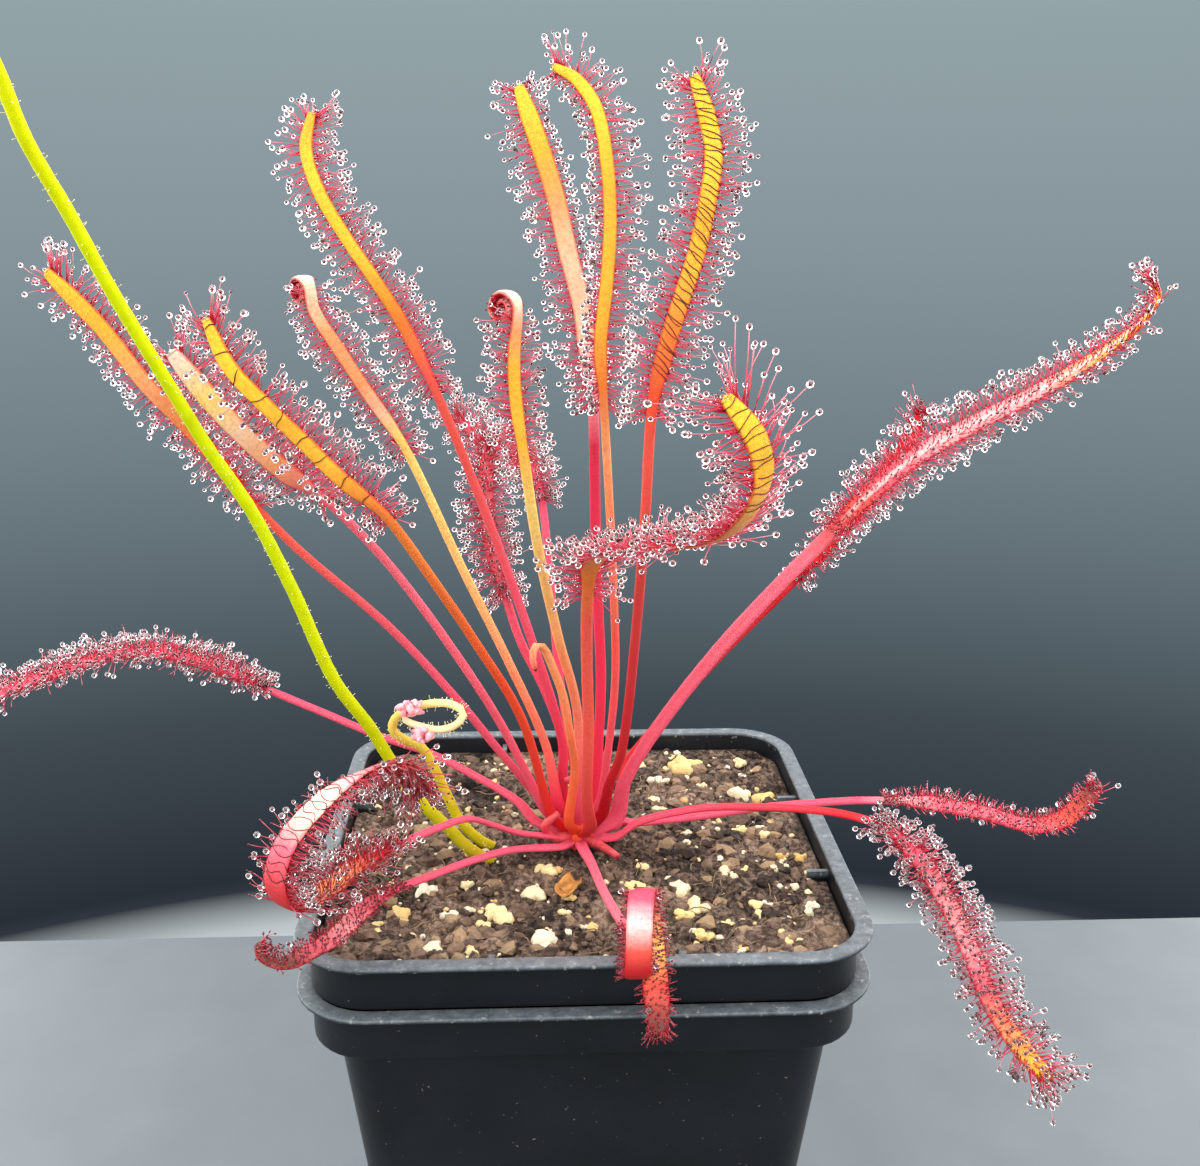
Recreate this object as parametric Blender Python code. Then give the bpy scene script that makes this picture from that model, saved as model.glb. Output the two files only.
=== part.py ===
"""Potted sundew: a rosette of sticky strap leaves with two flower stems.

The plant grows from a short crown in peat, in a square nursery pot that stands inside a second one
like it. Each leaf is a flat strap on a petiole, set with tentacles that end in a gland.

Sizes are in millimetres and turned into metres where a mesh is made. X points right, Y away from
the front and Z up. The origin is in the middle of the outer pot's base. Points of the plant are
given from the middle of the inner pot's rim.
"""

import math
import random
from dataclasses import dataclass, field

import bpy
from mathutils import Matrix, Vector, noise

MM = 0.001
GAP = 0.3
SMOOTH_UP_TO = math.radians(50)
RNG = random.Random()

# Pots
POT_HEIGHT = 95.0
POT_WALL = 0.6
FLANGE_HALF = 45.0
FLANGE_CORNER = 12.0
FLANGE_THICKNESS = 0.8
BAND_HALF = 42.7
BAND_CORNER = 9.7
BAND_HEIGHT = 8.3
BODY_HALF = 39.2
BODY_CORNER = 6.5
BODY_TAPER = 0.1086
BASE_CORNER = 5.0
NEST_STEP = BAND_HEIGHT + GAP
RIM_Z = POT_HEIGHT + NEST_STEP
CORNER_STEPS = 3
DRAIN_RADIUS = 4.0
DRAIN_PLACE = 17.0
DRAIN_SIDES = 10
DRILL_REACH = (-2.0, 4.0)

# Soil
SOIL_LEVEL = -3.6
SOIL_RINGS = 8
SOIL_SIDE_STEPS = 4
SOIL_RELIEF = 0.9
SOIL_GRAIN = 7.0
SOIL_FINE_GRAIN = 3.0
SOIL_FINE_SHARE = 0.6
CALM_ROUND_CROWN = 6.0
CALM_ALONG_WALL = 5.0
LUMP_COUNT = 22
LUMP_SIZES = (1.3, 2.3)
LUMP_REACH = 36.5
LUMP_SPACING = 2.0
CLEAR_OF_CROWN = 11.0
CLEAR_OF_STEMS = 4.5
LUMP_CORNERS = 5
LUMP_PROFILE = ((-0.6, 0.75), (0.25, 1.0), (0.75, 0.55))
LUMP_UNEVENNESS = (0.85, 1.1)
SOIL_SEED = 5
LOW_UP_TO = 3.5

# Crown
CROWN = Vector((0.0, 1.0, -3.2))
CROWN_RADIUS = 6.0
CROWN_SIDES = 14
STEM_RADIUS = 2.4
STEM_DEPTH = 9.0
STEM_HOLE = STEM_RADIUS + 0.4

# Leaves
PETIOLE_HALF_WIDTH = 0.8
PETIOLE_HALF_THICKNESS = 0.6
BLADE_HALF_WIDTH = 1.9
BLADE_HALF_THICKNESS = 0.45
BLADE_TIP_SHARE = 0.45
BLADE_WIDENING = 7.0
BLADE_NARROWING = 6.0
RIDGE_SHARE = 0.4
BASE_RUN = 2.5
POINT_LENGTH = 0.8
RING_GAP_PETIOLE = 12.0
RING_GAP_BLADE = 5.0
RING_TURN = 20.0
RING_GAP_LEAST = 1.7
CURL_RADIUS = 2.1
CURL_TIGHTENING = 0.4
CURL_STEPS = 7

# Tentacles
TENTACLE_SPACING = 4.4
TENTACLE_REACH = 4.6
TENTACLE_REACH_MIDDLE = 2.4
TENTACLE_REACH_TIP = 5.2
TENTACLE_ROOT = 0.42
TENTACLE_NECK = 0.2
TENTACLE_HEAD = 0.5
TENTACLE_CLEARANCE = 0.35
TENTACLE_SHORTEST = 1.5
TENTACLE_TIP_ROOT = 0.16
TENTACLE_SHORTER = (1.0, 0.95, 0.8, 0.7, 0.55, 0.45)
TENTACLE_SPREAD = 0.22
TENTACLE_RISE = (0.35, 0.85)
TENTACLE_LEAN = (-0.25, 0.35)
TENTACLE_LENGTHS = (0.85, 1.1)
TENTACLE_SHIFT = 0.4
ROOT_SHARE = 0.36
TIP_SPREAD = 0.7
TIP_RISE = 0.35
CLEAR_BESIDE_RIM = 2.0
CLEAR_ABOVE_RIM = 1.2
BARE_TIP = 1.5
THIRDS = (0, 2 * math.pi / 3, 4 * math.pi / 3)


@dataclass
class Leaf:
    """One leaf: where it leaves the crown, and the points of its midline from there on."""

    name: str
    azimuth: float
    lean: float
    petiole: list
    blade: list = field(default_factory=list)
    upper_side: list = field(default_factory=list)
    across: tuple = ()
    colour: str = "red"
    petiole_width: float = 1.0
    blade_width: float = 1.0
    curl_turns: float = 0.0
    reach: float = 1.0


LEAVES = [
    Leaf("leaf_far_left", 163, 46,
         [(-13, 0.5, 13), (-22, 1, 25), (-33, 1, 38), (-47, 1.5, 51), (-55, 2.5, 59.5)],
         [(-63, 3.5, 70), (-71, 4, 79), (-78, 6, 88), (-86.5, 7.7, 96.8)],
         [(0.3, 1, 0.2)], blade_width=0.9),
    Leaf("leaf_left_back", 192, 44,
         [(-14, -1.5, 21), (-22.5, -2.5, 36), (-32.5, -3.5, 51), (-42, -5, 62)],
         [(-47, -6, 66), (-54, -6.5, 73), (-59, -6.5, 79), (-63.5, -7, 85.5)],
         [(0.3, 1, 0.2)], colour="pink"),
    Leaf("leaf_left_front", 217, 45,
         [(-10, -9, 24.5), (-17.5, -15.5, 41), (-23.5, -21, 53), (-29.5, -25, 63.5)],
         [(-35.5, -25.5, 69), (-41, -24.5, 74.5), (-46, -24, 79.5), (-51, -23, 85), (-54, -22, 91.5)],
         [(0.2, 1, 0.2)], colour="orange"),
    Leaf("leaf_coiled_left", 196, 27,
         [(-6, 4.5, 14), (-12.5, 7, 29), (-20.5, 9, 46), (-30, 11.5, 67)],
         [(-35.8, 12, 76), (-41, 12.8, 84.2), (-44.6, 13.6, 90), (-45.3, 14.2, 93.8)],
         [(0, 1, 0.1), (-0.1, 1, 0), (-0.35, 0.94, 0)], colour="yellow", blade_width=0.75,
         curl_turns=0.85, reach=0.8),
    Leaf("leaf_high_left", 142, 26,
         [(-3, 4, 15), (-9, 3.5, 36.5), (-16.5, 3, 59), (-24, 2, 79)],
         [(-28.5, 3, 88.5), (-33, 3, 96), (-37.5, 4.5, 102.5), (-41.5, 5.5, 109.5), (-43.5, 7.5, 116),
          (-42.5, 9, 121.5)],
         [(0.2, 1, 0.1)], blade_width=0.85),
    Leaf("leaf_back_left", 115, 50,
         [(-3, 9, 13), (-6, 12, 21.5), (-10.5, 14.5, 30.5), (-13.5, 17.5, 39.5)],
         [(-15.5, 19.5, 46.5), (-16.5, 22, 55.5), (-16.5, 24, 61.5), (-16, 25, 66)],
         [(0, -1, 0.2)], colour="pink", blade_width=0.85),
    Leaf("leaf_back_centre", 88, 26,
         [(-1.5, 11, 12), (-3.5, 19.5, 24), (-5, 31.5, 40), (-6.5, 41.5, 52)],
         [(-8.5, 46, 56.5), (-14, 51, 59), (-19.5, 55, 61.5), (-24.5, 59.5, 65.5)],
         [(0.3, -1, 0.2)], colour="pink", blade_width=0.9),
    Leaf("leaf_coiled_centre", 262, 22,
         [(-0.5, -4.5, 23.5), (-4, -12, 40.5), (-7, -17.5, 56.5), (-9, -22, 72)],
         [(-10, -22, 80), (-10.2, -22, 86.5), (-9.6, -21.9, 92.8)],
         [(0, 1, 0), (0, 1, 0), (-0.6, 0.8, 0)], colour="yellow", blade_width=0.65,
         curl_turns=0.85, reach=0.85),
    Leaf("leaf_young_hook", 250, 44,
         [(-1, -7, 14.5), (-2, -10, 22.5), (-3, -11, 29), (-5, -12.5, 35.5), (-6.3, -13, 38.5),
          (-7.5, -14.5, 39.3), (-8, -16.3, 38), (-7.5, -17, 36)],
         colour="orange", petiole_width=0.9),
    Leaf("leaf_loop_left", 42, 25,
         [(3.4, 4.5, 12), (4, 5.5, 26), (3.5, 6, 38.5), (3, 7, 53.5), (2.5, 7.5, 76)],
         [(1.5, 9, 85), (0.5, 10, 92), (-1.5, 11, 99.5), (-3.5, 14, 108.5), (-6, 16, 116.5),
          (-9.7, 20, 126.8)],
         [(0, 1, 0)], colour="pink", petiole_width=1.15),
    Leaf("leaf_loop_right", 352, 26,
         [(4.5, -0.5, 10), (6, -3.5, 29), (5.5, -5.5, 46), (4.5, -8, 62.5), (3.5, -9, 78)],
         [(3, -8.5, 86.5), (4, -7.5, 96.5), (4.5, -6, 105.5), (4, -4.5, 114), (2.5, -2.5, 121.5),
          (-0.5, 0, 126), (-4, 1.5, 128)],
         [(0, 1, 0)], colour="orange", blade_width=0.8, petiole_width=0.85),
    Leaf("leaf_front_centre", 285, 50,
         [(1, -9.5, 9.5), (1, -15, 24.5), (0.5, -20.5, 41), (0.5, -24.5, 51.5)],
         [(1, -28, 56.5), (3.5, -33, 59.5), (8.5, -40, 61.5), (13, -46.5, 64), (17, -53, 67),
          (19.5, -57.5, 71.5), (20.5, -59, 76), (19, -60, 81), (15.5, -59.5, 85.5)],
         [(0, 0.3, 1), (0, 0, 1), (0, 0, 1), (-0.4, 0.4, 0.8), (-0.5, 0.9, 0.1)], colour="orange",
         petiole_width=1.15),
    Leaf("leaf_high_right", 318, 38,
         [(5, -5.5, 10.5), (7, -8.5, 18.5), (8.5, -14, 39), (9.5, -19, 61.5), (10, -23, 79)],
         [(12, -23, 88), (14, -22.5, 94.5), (16, -21.5, 100.5), (17.5, -21, 107.5), (18.5, -19, 114.5),
          (17.5, -17.5, 120), (15.8, -15.8, 125.3)],
         [(0.1, 1, 0)]),
    Leaf("leaf_long_right", 345, 52,
         [(8, -2.5, 10), (13.5, -5.5, 21.5), (23, -10, 37), (32.5, -13, 49.5), (40, -14, 58)],
         [(45.5, -14, 64), (53.5, -12.5, 70), (63.5, -10.5, 75), (73, -8.5, 79.2), (83.5, -6.5, 85),
          (89.5, -5.5, 89.5), (92.5, -4.5, 93.5), (92, -3.5, 97)],
         [(-0.3, -0.8, 0.5), (-0.3, -0.7, 0.6), (-0.4, -0.5, 0.8), (-0.9, 0.4, 0.3)], colour="pink",
         petiole_width=1.5),
    Leaf("leaf_back_right", 62, 55,
         [(13.5, 12.5, 12.5), (27.5, 19.5, 25.5), (43.5, 27, 39)],
         [(55.5, 32, 51), (63, 35.5, 60), (67.5, 38, 66.5), (69, 38.5, 70)],
         [(-0.3, -0.8, 0.5)], colour="pink", blade_width=0.9),
    Leaf("leaf_low_left", 177, 66,
         [(-11, 3, 3.5), (-19.5, 4.5, 8.5), (-27, 6, 12), (-36, 6, 15.5), (-46.5, 6, 20.5), (-57, 6, 25.5)],
         [(-64, 6, 29), (-73.5, 5.5, 32), (-81.5, 4, 32), (-89.5, 1.5, 30), (-98, -2, 27.5),
          (-104.5, -6, 23)],
         [(0, -0.3, 1)], colour="pink", blade_width=0.95),
    Leaf("leaf_rolled_left", 222, 66,
         [(-11, -8, 3), (-15, -10, 5.5), (-19, -12.5, 8), (-24, -19, 9.5), (-29, -25, 10)],
         [(-34, -32, 10.5), (-38, -39, 10.5), (-41, -45, 11), (-43, -49, 13.5), (-43.5, -50, 18),
          (-42, -48.5, 22.5), (-38, -45, 26.5), (-34, -41, 28.5), (-30, -37, 28.5), (-26.5, -34, 26),
          (-24.5, -33, 22)],
         across=((0.76, -0.64, 0), (0.76, -0.64, 0), (0.76, -0.64, 0), (0.6, -0.4, 0.5)), reach=0.85),
    Leaf("leaf_rim_left", 246, 73,
         [(-12, -12.5, 2), (-18.5, -18, 3), (-24.5, -24.5, 4), (-29.5, -30.5, 5)],
         [(-33.5, -35.5, 5), (-37, -42, 4), (-40, -46, 4), (-43, -49, 4), (-45.5, -50.5, 5.5),
          (-46.5, -50.5, 8)],
         [(0, 0, 1)], colour="pink", blade_width=0.75, reach=0.7),
    Leaf("leaf_rolled_front", 272, 72,
         [(1.5, -14, 0.2), (3, -24, 0.8), (4.5, -31, 1)],
         [(5, -37, 1.7), (5.4, -42, 2.2), (5.7, -46.5, 1.6), (6, -50, 1.5), (6.4, -52.8, 3.5),
          (6.6, -54, 7.5), (6.9, -52.5, 11.5), (7.4, -49, 13.8), (8.2, -46, 12.5), (9.3, -45, 9),
          (10, -46.5, 5), (10.3, -49, 2), (10.3, -51.5, -0.5), (10.2, -53, -3), (10.1, -54, -5.5)],
         across=((1, 0.1, 0), (1, 0, 0)), blade_width=0.85, reach=0.45),
    Leaf("leaf_hanging_right", 322, 70,
         [(10.5, -6.5, 4), (20.5, -10, 8), (29.5, -16, 11), (35.5, -20, 12.5), (42, -25.5, 14)],
         [(47, -30.5, 14), (51, -36.5, 11.5), (54, -42, 7), (56, -46.5, 2.5), (58, -51, -3),
          (61, -55, -7.5), (65, -58.5, -11.5)],
         [(0, -0.3, 1), (0.2, -0.7, 0.7), (0.3, -0.9, 0.4)], colour="pink"),
    Leaf("leaf_low_right", 5, 70,
         [(10.5, -2, 1.5), (21, -4, 3.5), (31.5, -6, 6), (41.5, -7.5, 7.5), (50, -9, 8.5)],
         [(60, -10.5, 8.5), (69.5, -11.5, 7), (77.5, -12.5, 5), (83, -12.5, 6), (87, -11.5, 9),
          (89.5, -11, 12)],
         [(0, -0.3, 1)], colour="pink", blade_width=0.8, reach=0.8),
]

# Flower stems
TALL_STEM_ROUTE = [
    (-6.1, -0.8, -1.8), (-10, -2.6, -1.3), (-15, -4.8, -0.8), (-20, -6.5, 1), (-23, -7, 3.5), (-26.5, -8, 8),
    (-32, -9, 17), (-35, -11, 24), (-40, -14.5, 34), (-45, -18.5, 50.5), (-49.5, -22, 63.5),
    (-54.2, -25.5, 73.5), (-58.6, -31, 85.5), (-62.5, -36, 96.5), (-65.3, -40.5, 106), (-67.9, -45, 114.5),
    (-69, -48, 121.5), (-71, -52, 131), (-72.5, -56, 140), (-72, -59, 147), (-69.5, -60.5, 151.5),
    (-66, -61, 152.5), (-63, -61, 150), (-62, -60.5, 146),
]
TALL_STEM_RADII = (1.25, 0.95)
TALL_STEM_BUDS = 9
TALL_STEM_BUD_LENGTH = 22.0
YOUNG_STEM_ROUTE = [
    (-5.8, 3.7, -1.6), (-9.5, 3.4, -1.5), (-14.5, 1.5, -1.5), (-18.5, -0.5, -0.6), (-21.5, -1.5, 2.5),
    (-23.5, -2, 7.5), (-25.5, -2.5, 13), (-27.5, -3, 17), (-30, -4.5, 19), (-32, -6, 21.5),
    (-31, -7, 24.5), (-26.5, -8.5, 27), (-22, -10.5, 28), (-19.5, -12, 27), (-20.5, -12.5, 25.2),
    (-23.5, -12, 24), (-28, -10.8, 23.5),
]
YOUNG_STEM_RADII = (1.05, 0.55)
YOUNG_STEM_BUDS = 7
YOUNG_STEM_BUD_LENGTH = 6.5
STEM_SIDES = 6
STEM_RING_GAP = 9.0
STEM_RING_TURN = 24.0
STEM_RING_GAP_LEAST = 1.2
BUD_HALF_LENGTH = 2.1
BUD_HALF_WIDTH = 1.1
BUD_SIDES = 5
BUD_PROFILE = ((0.0, 0.45), (0.7, 1.0), (1.4, 0.85), (2.0, 0.3))
BUD_SPREAD = 0.8
BUD_LEAN = 0.5
BUD_SHRINK = 0.4

# Old petiole stubs and the youngest leaf, still rolled up, on the crown
CROWN_SPROUTS = {
    "old_stub_back": [(-1, 2.5, -1.5), (-3.4, 6.4, -0.8), (-4.8, 8.6, 0.4)],
    "old_stub_right": [(2, 2.5, -1.5), (5.4, 4.6, -0.8), (7.6, 6.2, -0.2)],
    "old_stub_front": [(1, -1, -2), (4.2, -5.4, -1.6), (6.4, -8.6, -1.6)],
    "young_roll": [(-0.2, 1.1, 0.4), (-0.3, 1.2, 5), (-0.5, 1.1, 7.3), (-1.3, 1, 8.8), (-2.6, 0.9, 8.4)],
}
SPROUT_RADII = (0.85, 0.6)
SPROUT_SIDES = 5
CROWN_RINGS = 4

COLOURS = {
    "red": (0.62, 0.05, 0.05),
    "pink": (0.70, 0.12, 0.16),
    "orange": (0.78, 0.22, 0.06),
    "yellow": (0.80, 0.50, 0.12),
    "crown": (0.60, 0.08, 0.05),
    "stem_green": (0.50, 0.48, 0.05),
    "soil": (0.14, 0.08, 0.05),
    "pot": (0.02, 0.022, 0.026),
}


def clear_scene():
    """Remove whatever the scene starts with."""
    for thing in list(bpy.data.objects):
        bpy.data.objects.remove(thing, do_unlink=True)


def make_material(name, roughness):
    """A plain surface in one of the part's colours."""
    material = bpy.data.materials.new(name)
    material.use_nodes = True
    shader = material.node_tree.nodes["Principled BSDF"]
    shader.inputs["Base Color"].default_value = (*COLOURS[name], 1.0)
    shader.inputs["Roughness"].default_value = roughness
    shader.inputs["Metallic"].default_value = 0.0
    return material


def make_object(name, points, faces, material):
    """A mesh object from points in millimetres."""
    mesh = bpy.data.meshes.new(name)
    mesh.from_pydata([Vector(point) * MM for point in points], [], faces)
    mesh.materials.append(material)
    mesh.shade_smooth()
    mesh.set_sharp_from_angle(angle=SMOOTH_UP_TO)
    part = bpy.data.objects.new(name, mesh)
    bpy.context.collection.objects.link(part)
    return part


def fuse(bodies):
    """Join overlapping closed bodies into the first one."""
    base = bodies[0]
    group = bpy.data.collections.new(base.name + "_pieces")
    for body in bodies[1:]:
        group.objects.link(body)
    union = base.modifiers.new("fuse", "BOOLEAN")
    union.operation = "UNION"
    union.operand_type = "COLLECTION"
    union.collection = group
    union.solver = "EXACT"
    depsgraph = bpy.context.evaluated_depsgraph_get()
    fused = bpy.data.meshes.new_from_object(base.evaluated_get(depsgraph))
    base.modifiers.clear()
    base.data = fused
    for body in bodies[1:]:
        bpy.data.objects.remove(body, do_unlink=True)
    bpy.data.collections.remove(group)
    return base


def loft(name, rings, material):
    """A closed body through rings of points, each counter-clockwise seen from the last ring's side."""
    count = len(rings[0])
    points = [point for ring in rings for point in ring]
    faces = []
    for level in range(len(rings) - 1):
        low = level * count
        high = low + count
        for side in range(count):
            following = (side + 1) % count
            faces.append((low + side, low + following, high + following, high + side))
    faces.append(tuple(reversed(range(count))))
    faces.append(tuple(range(len(points) - count, len(points))))
    return make_object(name, points, faces, material)


def rounded_square(half, corner, height, side_steps=0):
    """Outline of a square with round corners, counter-clockwise seen from above."""
    points = []
    straight = 2 * (half - corner)
    for quarter in range(4):
        side_x = 1 if quarter in (0, 3) else -1
        side_y = 1 if quarter in (0, 1) else -1
        centre = Vector((side_x * (half - corner), side_y * (half - corner), height))
        for step in range(CORNER_STEPS + 1):
            angle = (quarter + step / CORNER_STEPS) * math.pi / 2
            points.append(centre + corner * Vector((math.cos(angle), math.sin(angle), 0)))
        corner_end = points[-1]
        onward = (quarter + 2) * math.pi / 2
        along = Vector((math.cos(onward), math.sin(onward), 0))
        for step in range(1, side_steps + 1):
            points.append(corner_end + along * straight * step / (side_steps + 1))
    return points


def make_pot(name, base_z, material):
    """One nursery pot: tapered body, a stepped-out band under the rim and a flat flange."""
    shoulder = POT_HEIGHT - BAND_HEIGHT
    base_half = BODY_HALF - shoulder * BODY_TAPER
    flange_low = POT_HEIGHT - FLANGE_THICKNESS
    inner_step = shoulder + POT_WALL
    profile = [
        (base_half, BASE_CORNER, 0.0),
        (BODY_HALF, BODY_CORNER, shoulder),
        (BAND_HALF, BAND_CORNER, shoulder),
        (BAND_HALF, BAND_CORNER, flange_low),
        (FLANGE_HALF, FLANGE_CORNER, flange_low),
        (FLANGE_HALF, FLANGE_CORNER, POT_HEIGHT),
        (BAND_HALF - POT_WALL, BAND_CORNER - POT_WALL, POT_HEIGHT),
        (BAND_HALF - POT_WALL, BAND_CORNER - POT_WALL, inner_step),
        (BODY_HALF - POT_WALL, BODY_CORNER - POT_WALL, inner_step),
        (base_half - POT_WALL, BASE_CORNER - POT_WALL, 2 * POT_WALL),
    ]
    rings = [rounded_square(half, corner, base_z + height) for half, corner, height in profile]
    pot = loft(name, rings, material)
    drills = loft_drills(name + "_drills", base_z, material)
    cut = pot.modifiers.new("drain_holes", "BOOLEAN")
    cut.operation = "DIFFERENCE"
    cut.object = drills
    cut.solver = "EXACT"
    return pot


def loft_drills(name, base_z, material):
    """Cutter with four round drills for the drain holes, off the middle of the base."""
    points = []
    faces = []
    for side_x in (-1, 1):
        for side_y in (-1, 1):
            first = len(points)
            for height in DRILL_REACH:
                for step in range(DRAIN_SIDES):
                    angle = 2 * math.pi * step / DRAIN_SIDES
                    points.append((side_x * DRAIN_PLACE + DRAIN_RADIUS * math.cos(angle),
                                   side_y * DRAIN_PLACE + DRAIN_RADIUS * math.sin(angle),
                                   base_z + height))
            for step in range(DRAIN_SIDES):
                following = (step + 1) % DRAIN_SIDES
                faces.append((first + step, first + following,
                              first + DRAIN_SIDES + following, first + DRAIN_SIDES + step))
            faces.append(tuple(reversed(range(first, first + DRAIN_SIDES))))
            faces.append(tuple(range(first + DRAIN_SIDES, first + 2 * DRAIN_SIDES)))
    drills = make_object(name, points, faces, material)
    drills.hide_render = True
    drills.display_type = "WIRE"
    return drills


def soil_height(x, y):
    """Relief of the soil, level round the crown and at the pot's wall."""
    from_crown = math.hypot(x - CROWN.x, y - CROWN.y) - CROWN_RADIUS
    from_wall = BAND_HALF - max(abs(x), abs(y))
    calm = min(1.0, max(0.0, from_crown / CALM_ROUND_CROWN), max(0.0, from_wall / CALM_ALONG_WALL))
    coarse = noise.noise(Vector((x, y, 0)) / SOIL_GRAIN)
    fine = noise.noise(Vector((x, y, SOIL_GRAIN)) / SOIL_FINE_GRAIN)
    return SOIL_LEVEL + SOIL_RELIEF * calm * (coarse + SOIL_FINE_SHARE * fine)


def make_soil(low_stems, material):
    """Peat that fills the inner pot, with a hole for the crown's stem and half-sunk perlite lumps."""
    shoulder = RIM_Z - BAND_HEIGHT + POT_WALL + GAP
    floor = NEST_STEP + 2 * POT_WALL + GAP
    inset = POT_WALL + GAP
    base_half = BODY_HALF - (POT_HEIGHT - BAND_HEIGHT) * BODY_TAPER
    sides = [
        (base_half - inset, BASE_CORNER - inset, floor),
        (BODY_HALF - inset, BODY_CORNER - inset, shoulder),
        (BAND_HALF - inset, BAND_CORNER - inset, shoulder),
    ]
    rings = [rounded_square(half, corner, z, SOIL_SIDE_STEPS) for half, corner, z in sides]
    edge = rounded_square(BAND_HALF - inset, BAND_CORNER - inset, 0.0, SOIL_SIDE_STEPS)
    hole = []
    for point in edge:
        angle = math.atan2(point.y, point.x)
        hole.append(Vector((CROWN.x + STEM_HOLE * math.cos(angle), CROWN.y + STEM_HOLE * math.sin(angle), 0)))
    for ring in range(SOIL_RINGS + 1):
        share = ring / SOIL_RINGS
        level = []
        for outer, inner in zip(edge, hole):
            spot = outer.lerp(inner, share)
            level.append(Vector((spot.x, spot.y, RIM_Z + soil_height(spot.x, spot.y))))
        rings.append(level)
    depth = RIM_Z + CROWN.z - STEM_DEPTH - GAP
    rings.append([Vector((point.x, point.y, depth)) for point in hole])
    soil = loft("soil", rings, material)
    RNG.seed(SOIL_SEED)
    lumps = []
    while len(lumps) < LUMP_COUNT:
        x = RNG.uniform(-LUMP_REACH, LUMP_REACH)
        y = RNG.uniform(-LUMP_REACH, LUMP_REACH)
        size = RNG.uniform(*LUMP_SIZES)
        near_crown = math.hypot(x - CROWN.x, y - CROWN.y) < CLEAR_OF_CROWN
        near_stem = any(math.hypot(x - stem.x, y - stem.y) < CLEAR_OF_STEMS for stem in low_stems)
        near_lump = any(math.hypot(x - lump[0], y - lump[1]) < size + lump[2] + LUMP_SPACING
                        for lump in lumps)
        if not (near_crown or near_stem or near_lump):
            lumps.append((x, y, size))
    bodies = [soil]
    for number, (x, y, size) in enumerate(lumps):
        centre = Vector((x, y, RIM_Z + soil_height(x, y) + size / 4))
        bodies.append(make_lump(f"lump_{number}", centre, size, material))
    return fuse(bodies)


def make_lump(name, centre, size, material):
    """An uneven eight-sided lump, five-cornered seen from above."""
    turn = RNG.uniform(0, math.pi)
    rings = []
    for height, width in LUMP_PROFILE:
        ring = []
        for step in range(LUMP_CORNERS):
            angle = turn + 2 * math.pi * step / LUMP_CORNERS
            radius = size * width * RNG.uniform(*LUMP_UNEVENNESS)
            ring.append(centre + Vector((radius * math.cos(angle), radius * math.sin(angle), size * height)))
        rings.append(ring)
    return loft(name, rings, material)


class Midline:
    """A smooth curve through route points, sampled finely by length."""

    STEP = 0.5

    def __init__(self, route):
        route = [Vector(point) for point in route]
        slopes = []
        for index, point in enumerate(route):
            before = route[max(index - 1, 0)]
            after = route[min(index + 1, len(route) - 1)]
            span = (after - point).length + (point - before).length
            slopes.append((after - before) / span)
        self.points = [route[0]]
        self.lengths = [0.0]
        self.knots = [0.0]
        for start, end, slope_in, slope_out in zip(route, route[1:], slopes, slopes[1:]):
            chord = (end - start).length
            pieces = max(2, round(chord / self.STEP))
            for piece in range(1, pieces + 1):
                t = piece / pieces
                point = (start * (2 * t**3 - 3 * t**2 + 1) + end * (3 * t**2 - 2 * t**3)
                         + (slope_in * (t**3 - 2 * t**2 + t) + slope_out * (t**3 - t**2)) * chord)
                self.lengths.append(self.lengths[-1] + (point - self.points[-1]).length)
                self.points.append(point)
            self.knots.append(self.lengths[-1])
        self.length = self.lengths[-1]

    def at(self, distance):
        """Point at a distance along the curve."""
        distance = min(max(distance, 0.0), self.length)
        low, high = 0, len(self.lengths) - 1
        while high - low > 1:
            middle = (low + high) // 2
            if self.lengths[middle] <= distance:
                low = middle
            else:
                high = middle
        share = (distance - self.lengths[low]) / (self.lengths[high] - self.lengths[low])
        return self.points[low].lerp(self.points[high], share)

    def tangent(self, distance):
        """Direction of the curve at a distance along it."""
        reach = 0.6
        return (self.at(distance + reach) - self.at(distance - reach)).normalized()

    def stations(self, start, end, widest, turn, least):
        """Distances from start to end, closer together where the curve bends."""
        stations = [start]
        distance = start
        while distance < end - least:
            distance += 0.25
            gap = distance - stations[-1]
            bend = math.degrees(self.tangent(distance).angle(self.tangent(stations[-1])))
            if gap >= widest or (gap >= least and bend >= turn):
                stations.append(distance)
        if end - stations[-1] < least / 2:
            stations.pop()
        stations.append(end)
        return stations


def leaf_midline(leaf):
    """The leaf's curve from the crown, with where its blade and its rolled tip start."""
    azimuth, lean = math.radians(leaf.azimuth), math.radians(leaf.lean)
    outward = Vector((math.sin(lean) * math.cos(azimuth), math.sin(lean) * math.sin(azimuth), math.cos(lean)))
    base = CROWN + outward * (CROWN_RADIUS + GAP)
    route = [base, base + outward * BASE_RUN, *leaf.petiole, *leaf.blade]
    if leaf.curl_turns:
        forward = (Vector(route[-1]) - Vector(route[-2])).normalized()
        inward = Vector(leaf.upper_side[-1])
        inward = (inward - forward * inward.dot(forward)).normalized()
        centre = Vector(route[-1]) + inward * CURL_RADIUS
        for step in range(1, CURL_STEPS + 1):
            angle = 2 * math.pi * leaf.curl_turns * step / CURL_STEPS
            radius = CURL_RADIUS * (1 - CURL_TIGHTENING * step / CURL_STEPS)
            route.append(centre + (forward * math.sin(angle) - inward * math.cos(angle)) * radius)
    midline = Midline(route)
    blade_start = midline.knots[1 + len(leaf.petiole)] if leaf.blade else midline.length
    curl_start = midline.knots[1 + len(leaf.petiole) + len(leaf.blade)]
    return midline, blade_start, curl_start


def between(vectors, share):
    """Direction at a share of the way along evenly spaced directions."""
    place = min(max(share, 0.0), 1.0) * (len(vectors) - 1)
    low = min(int(place), len(vectors) - 2) if len(vectors) > 1 else 0
    high = min(low + 1, len(vectors) - 1)
    return Vector(vectors[low]).lerp(Vector(vectors[high]), place - low)


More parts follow.
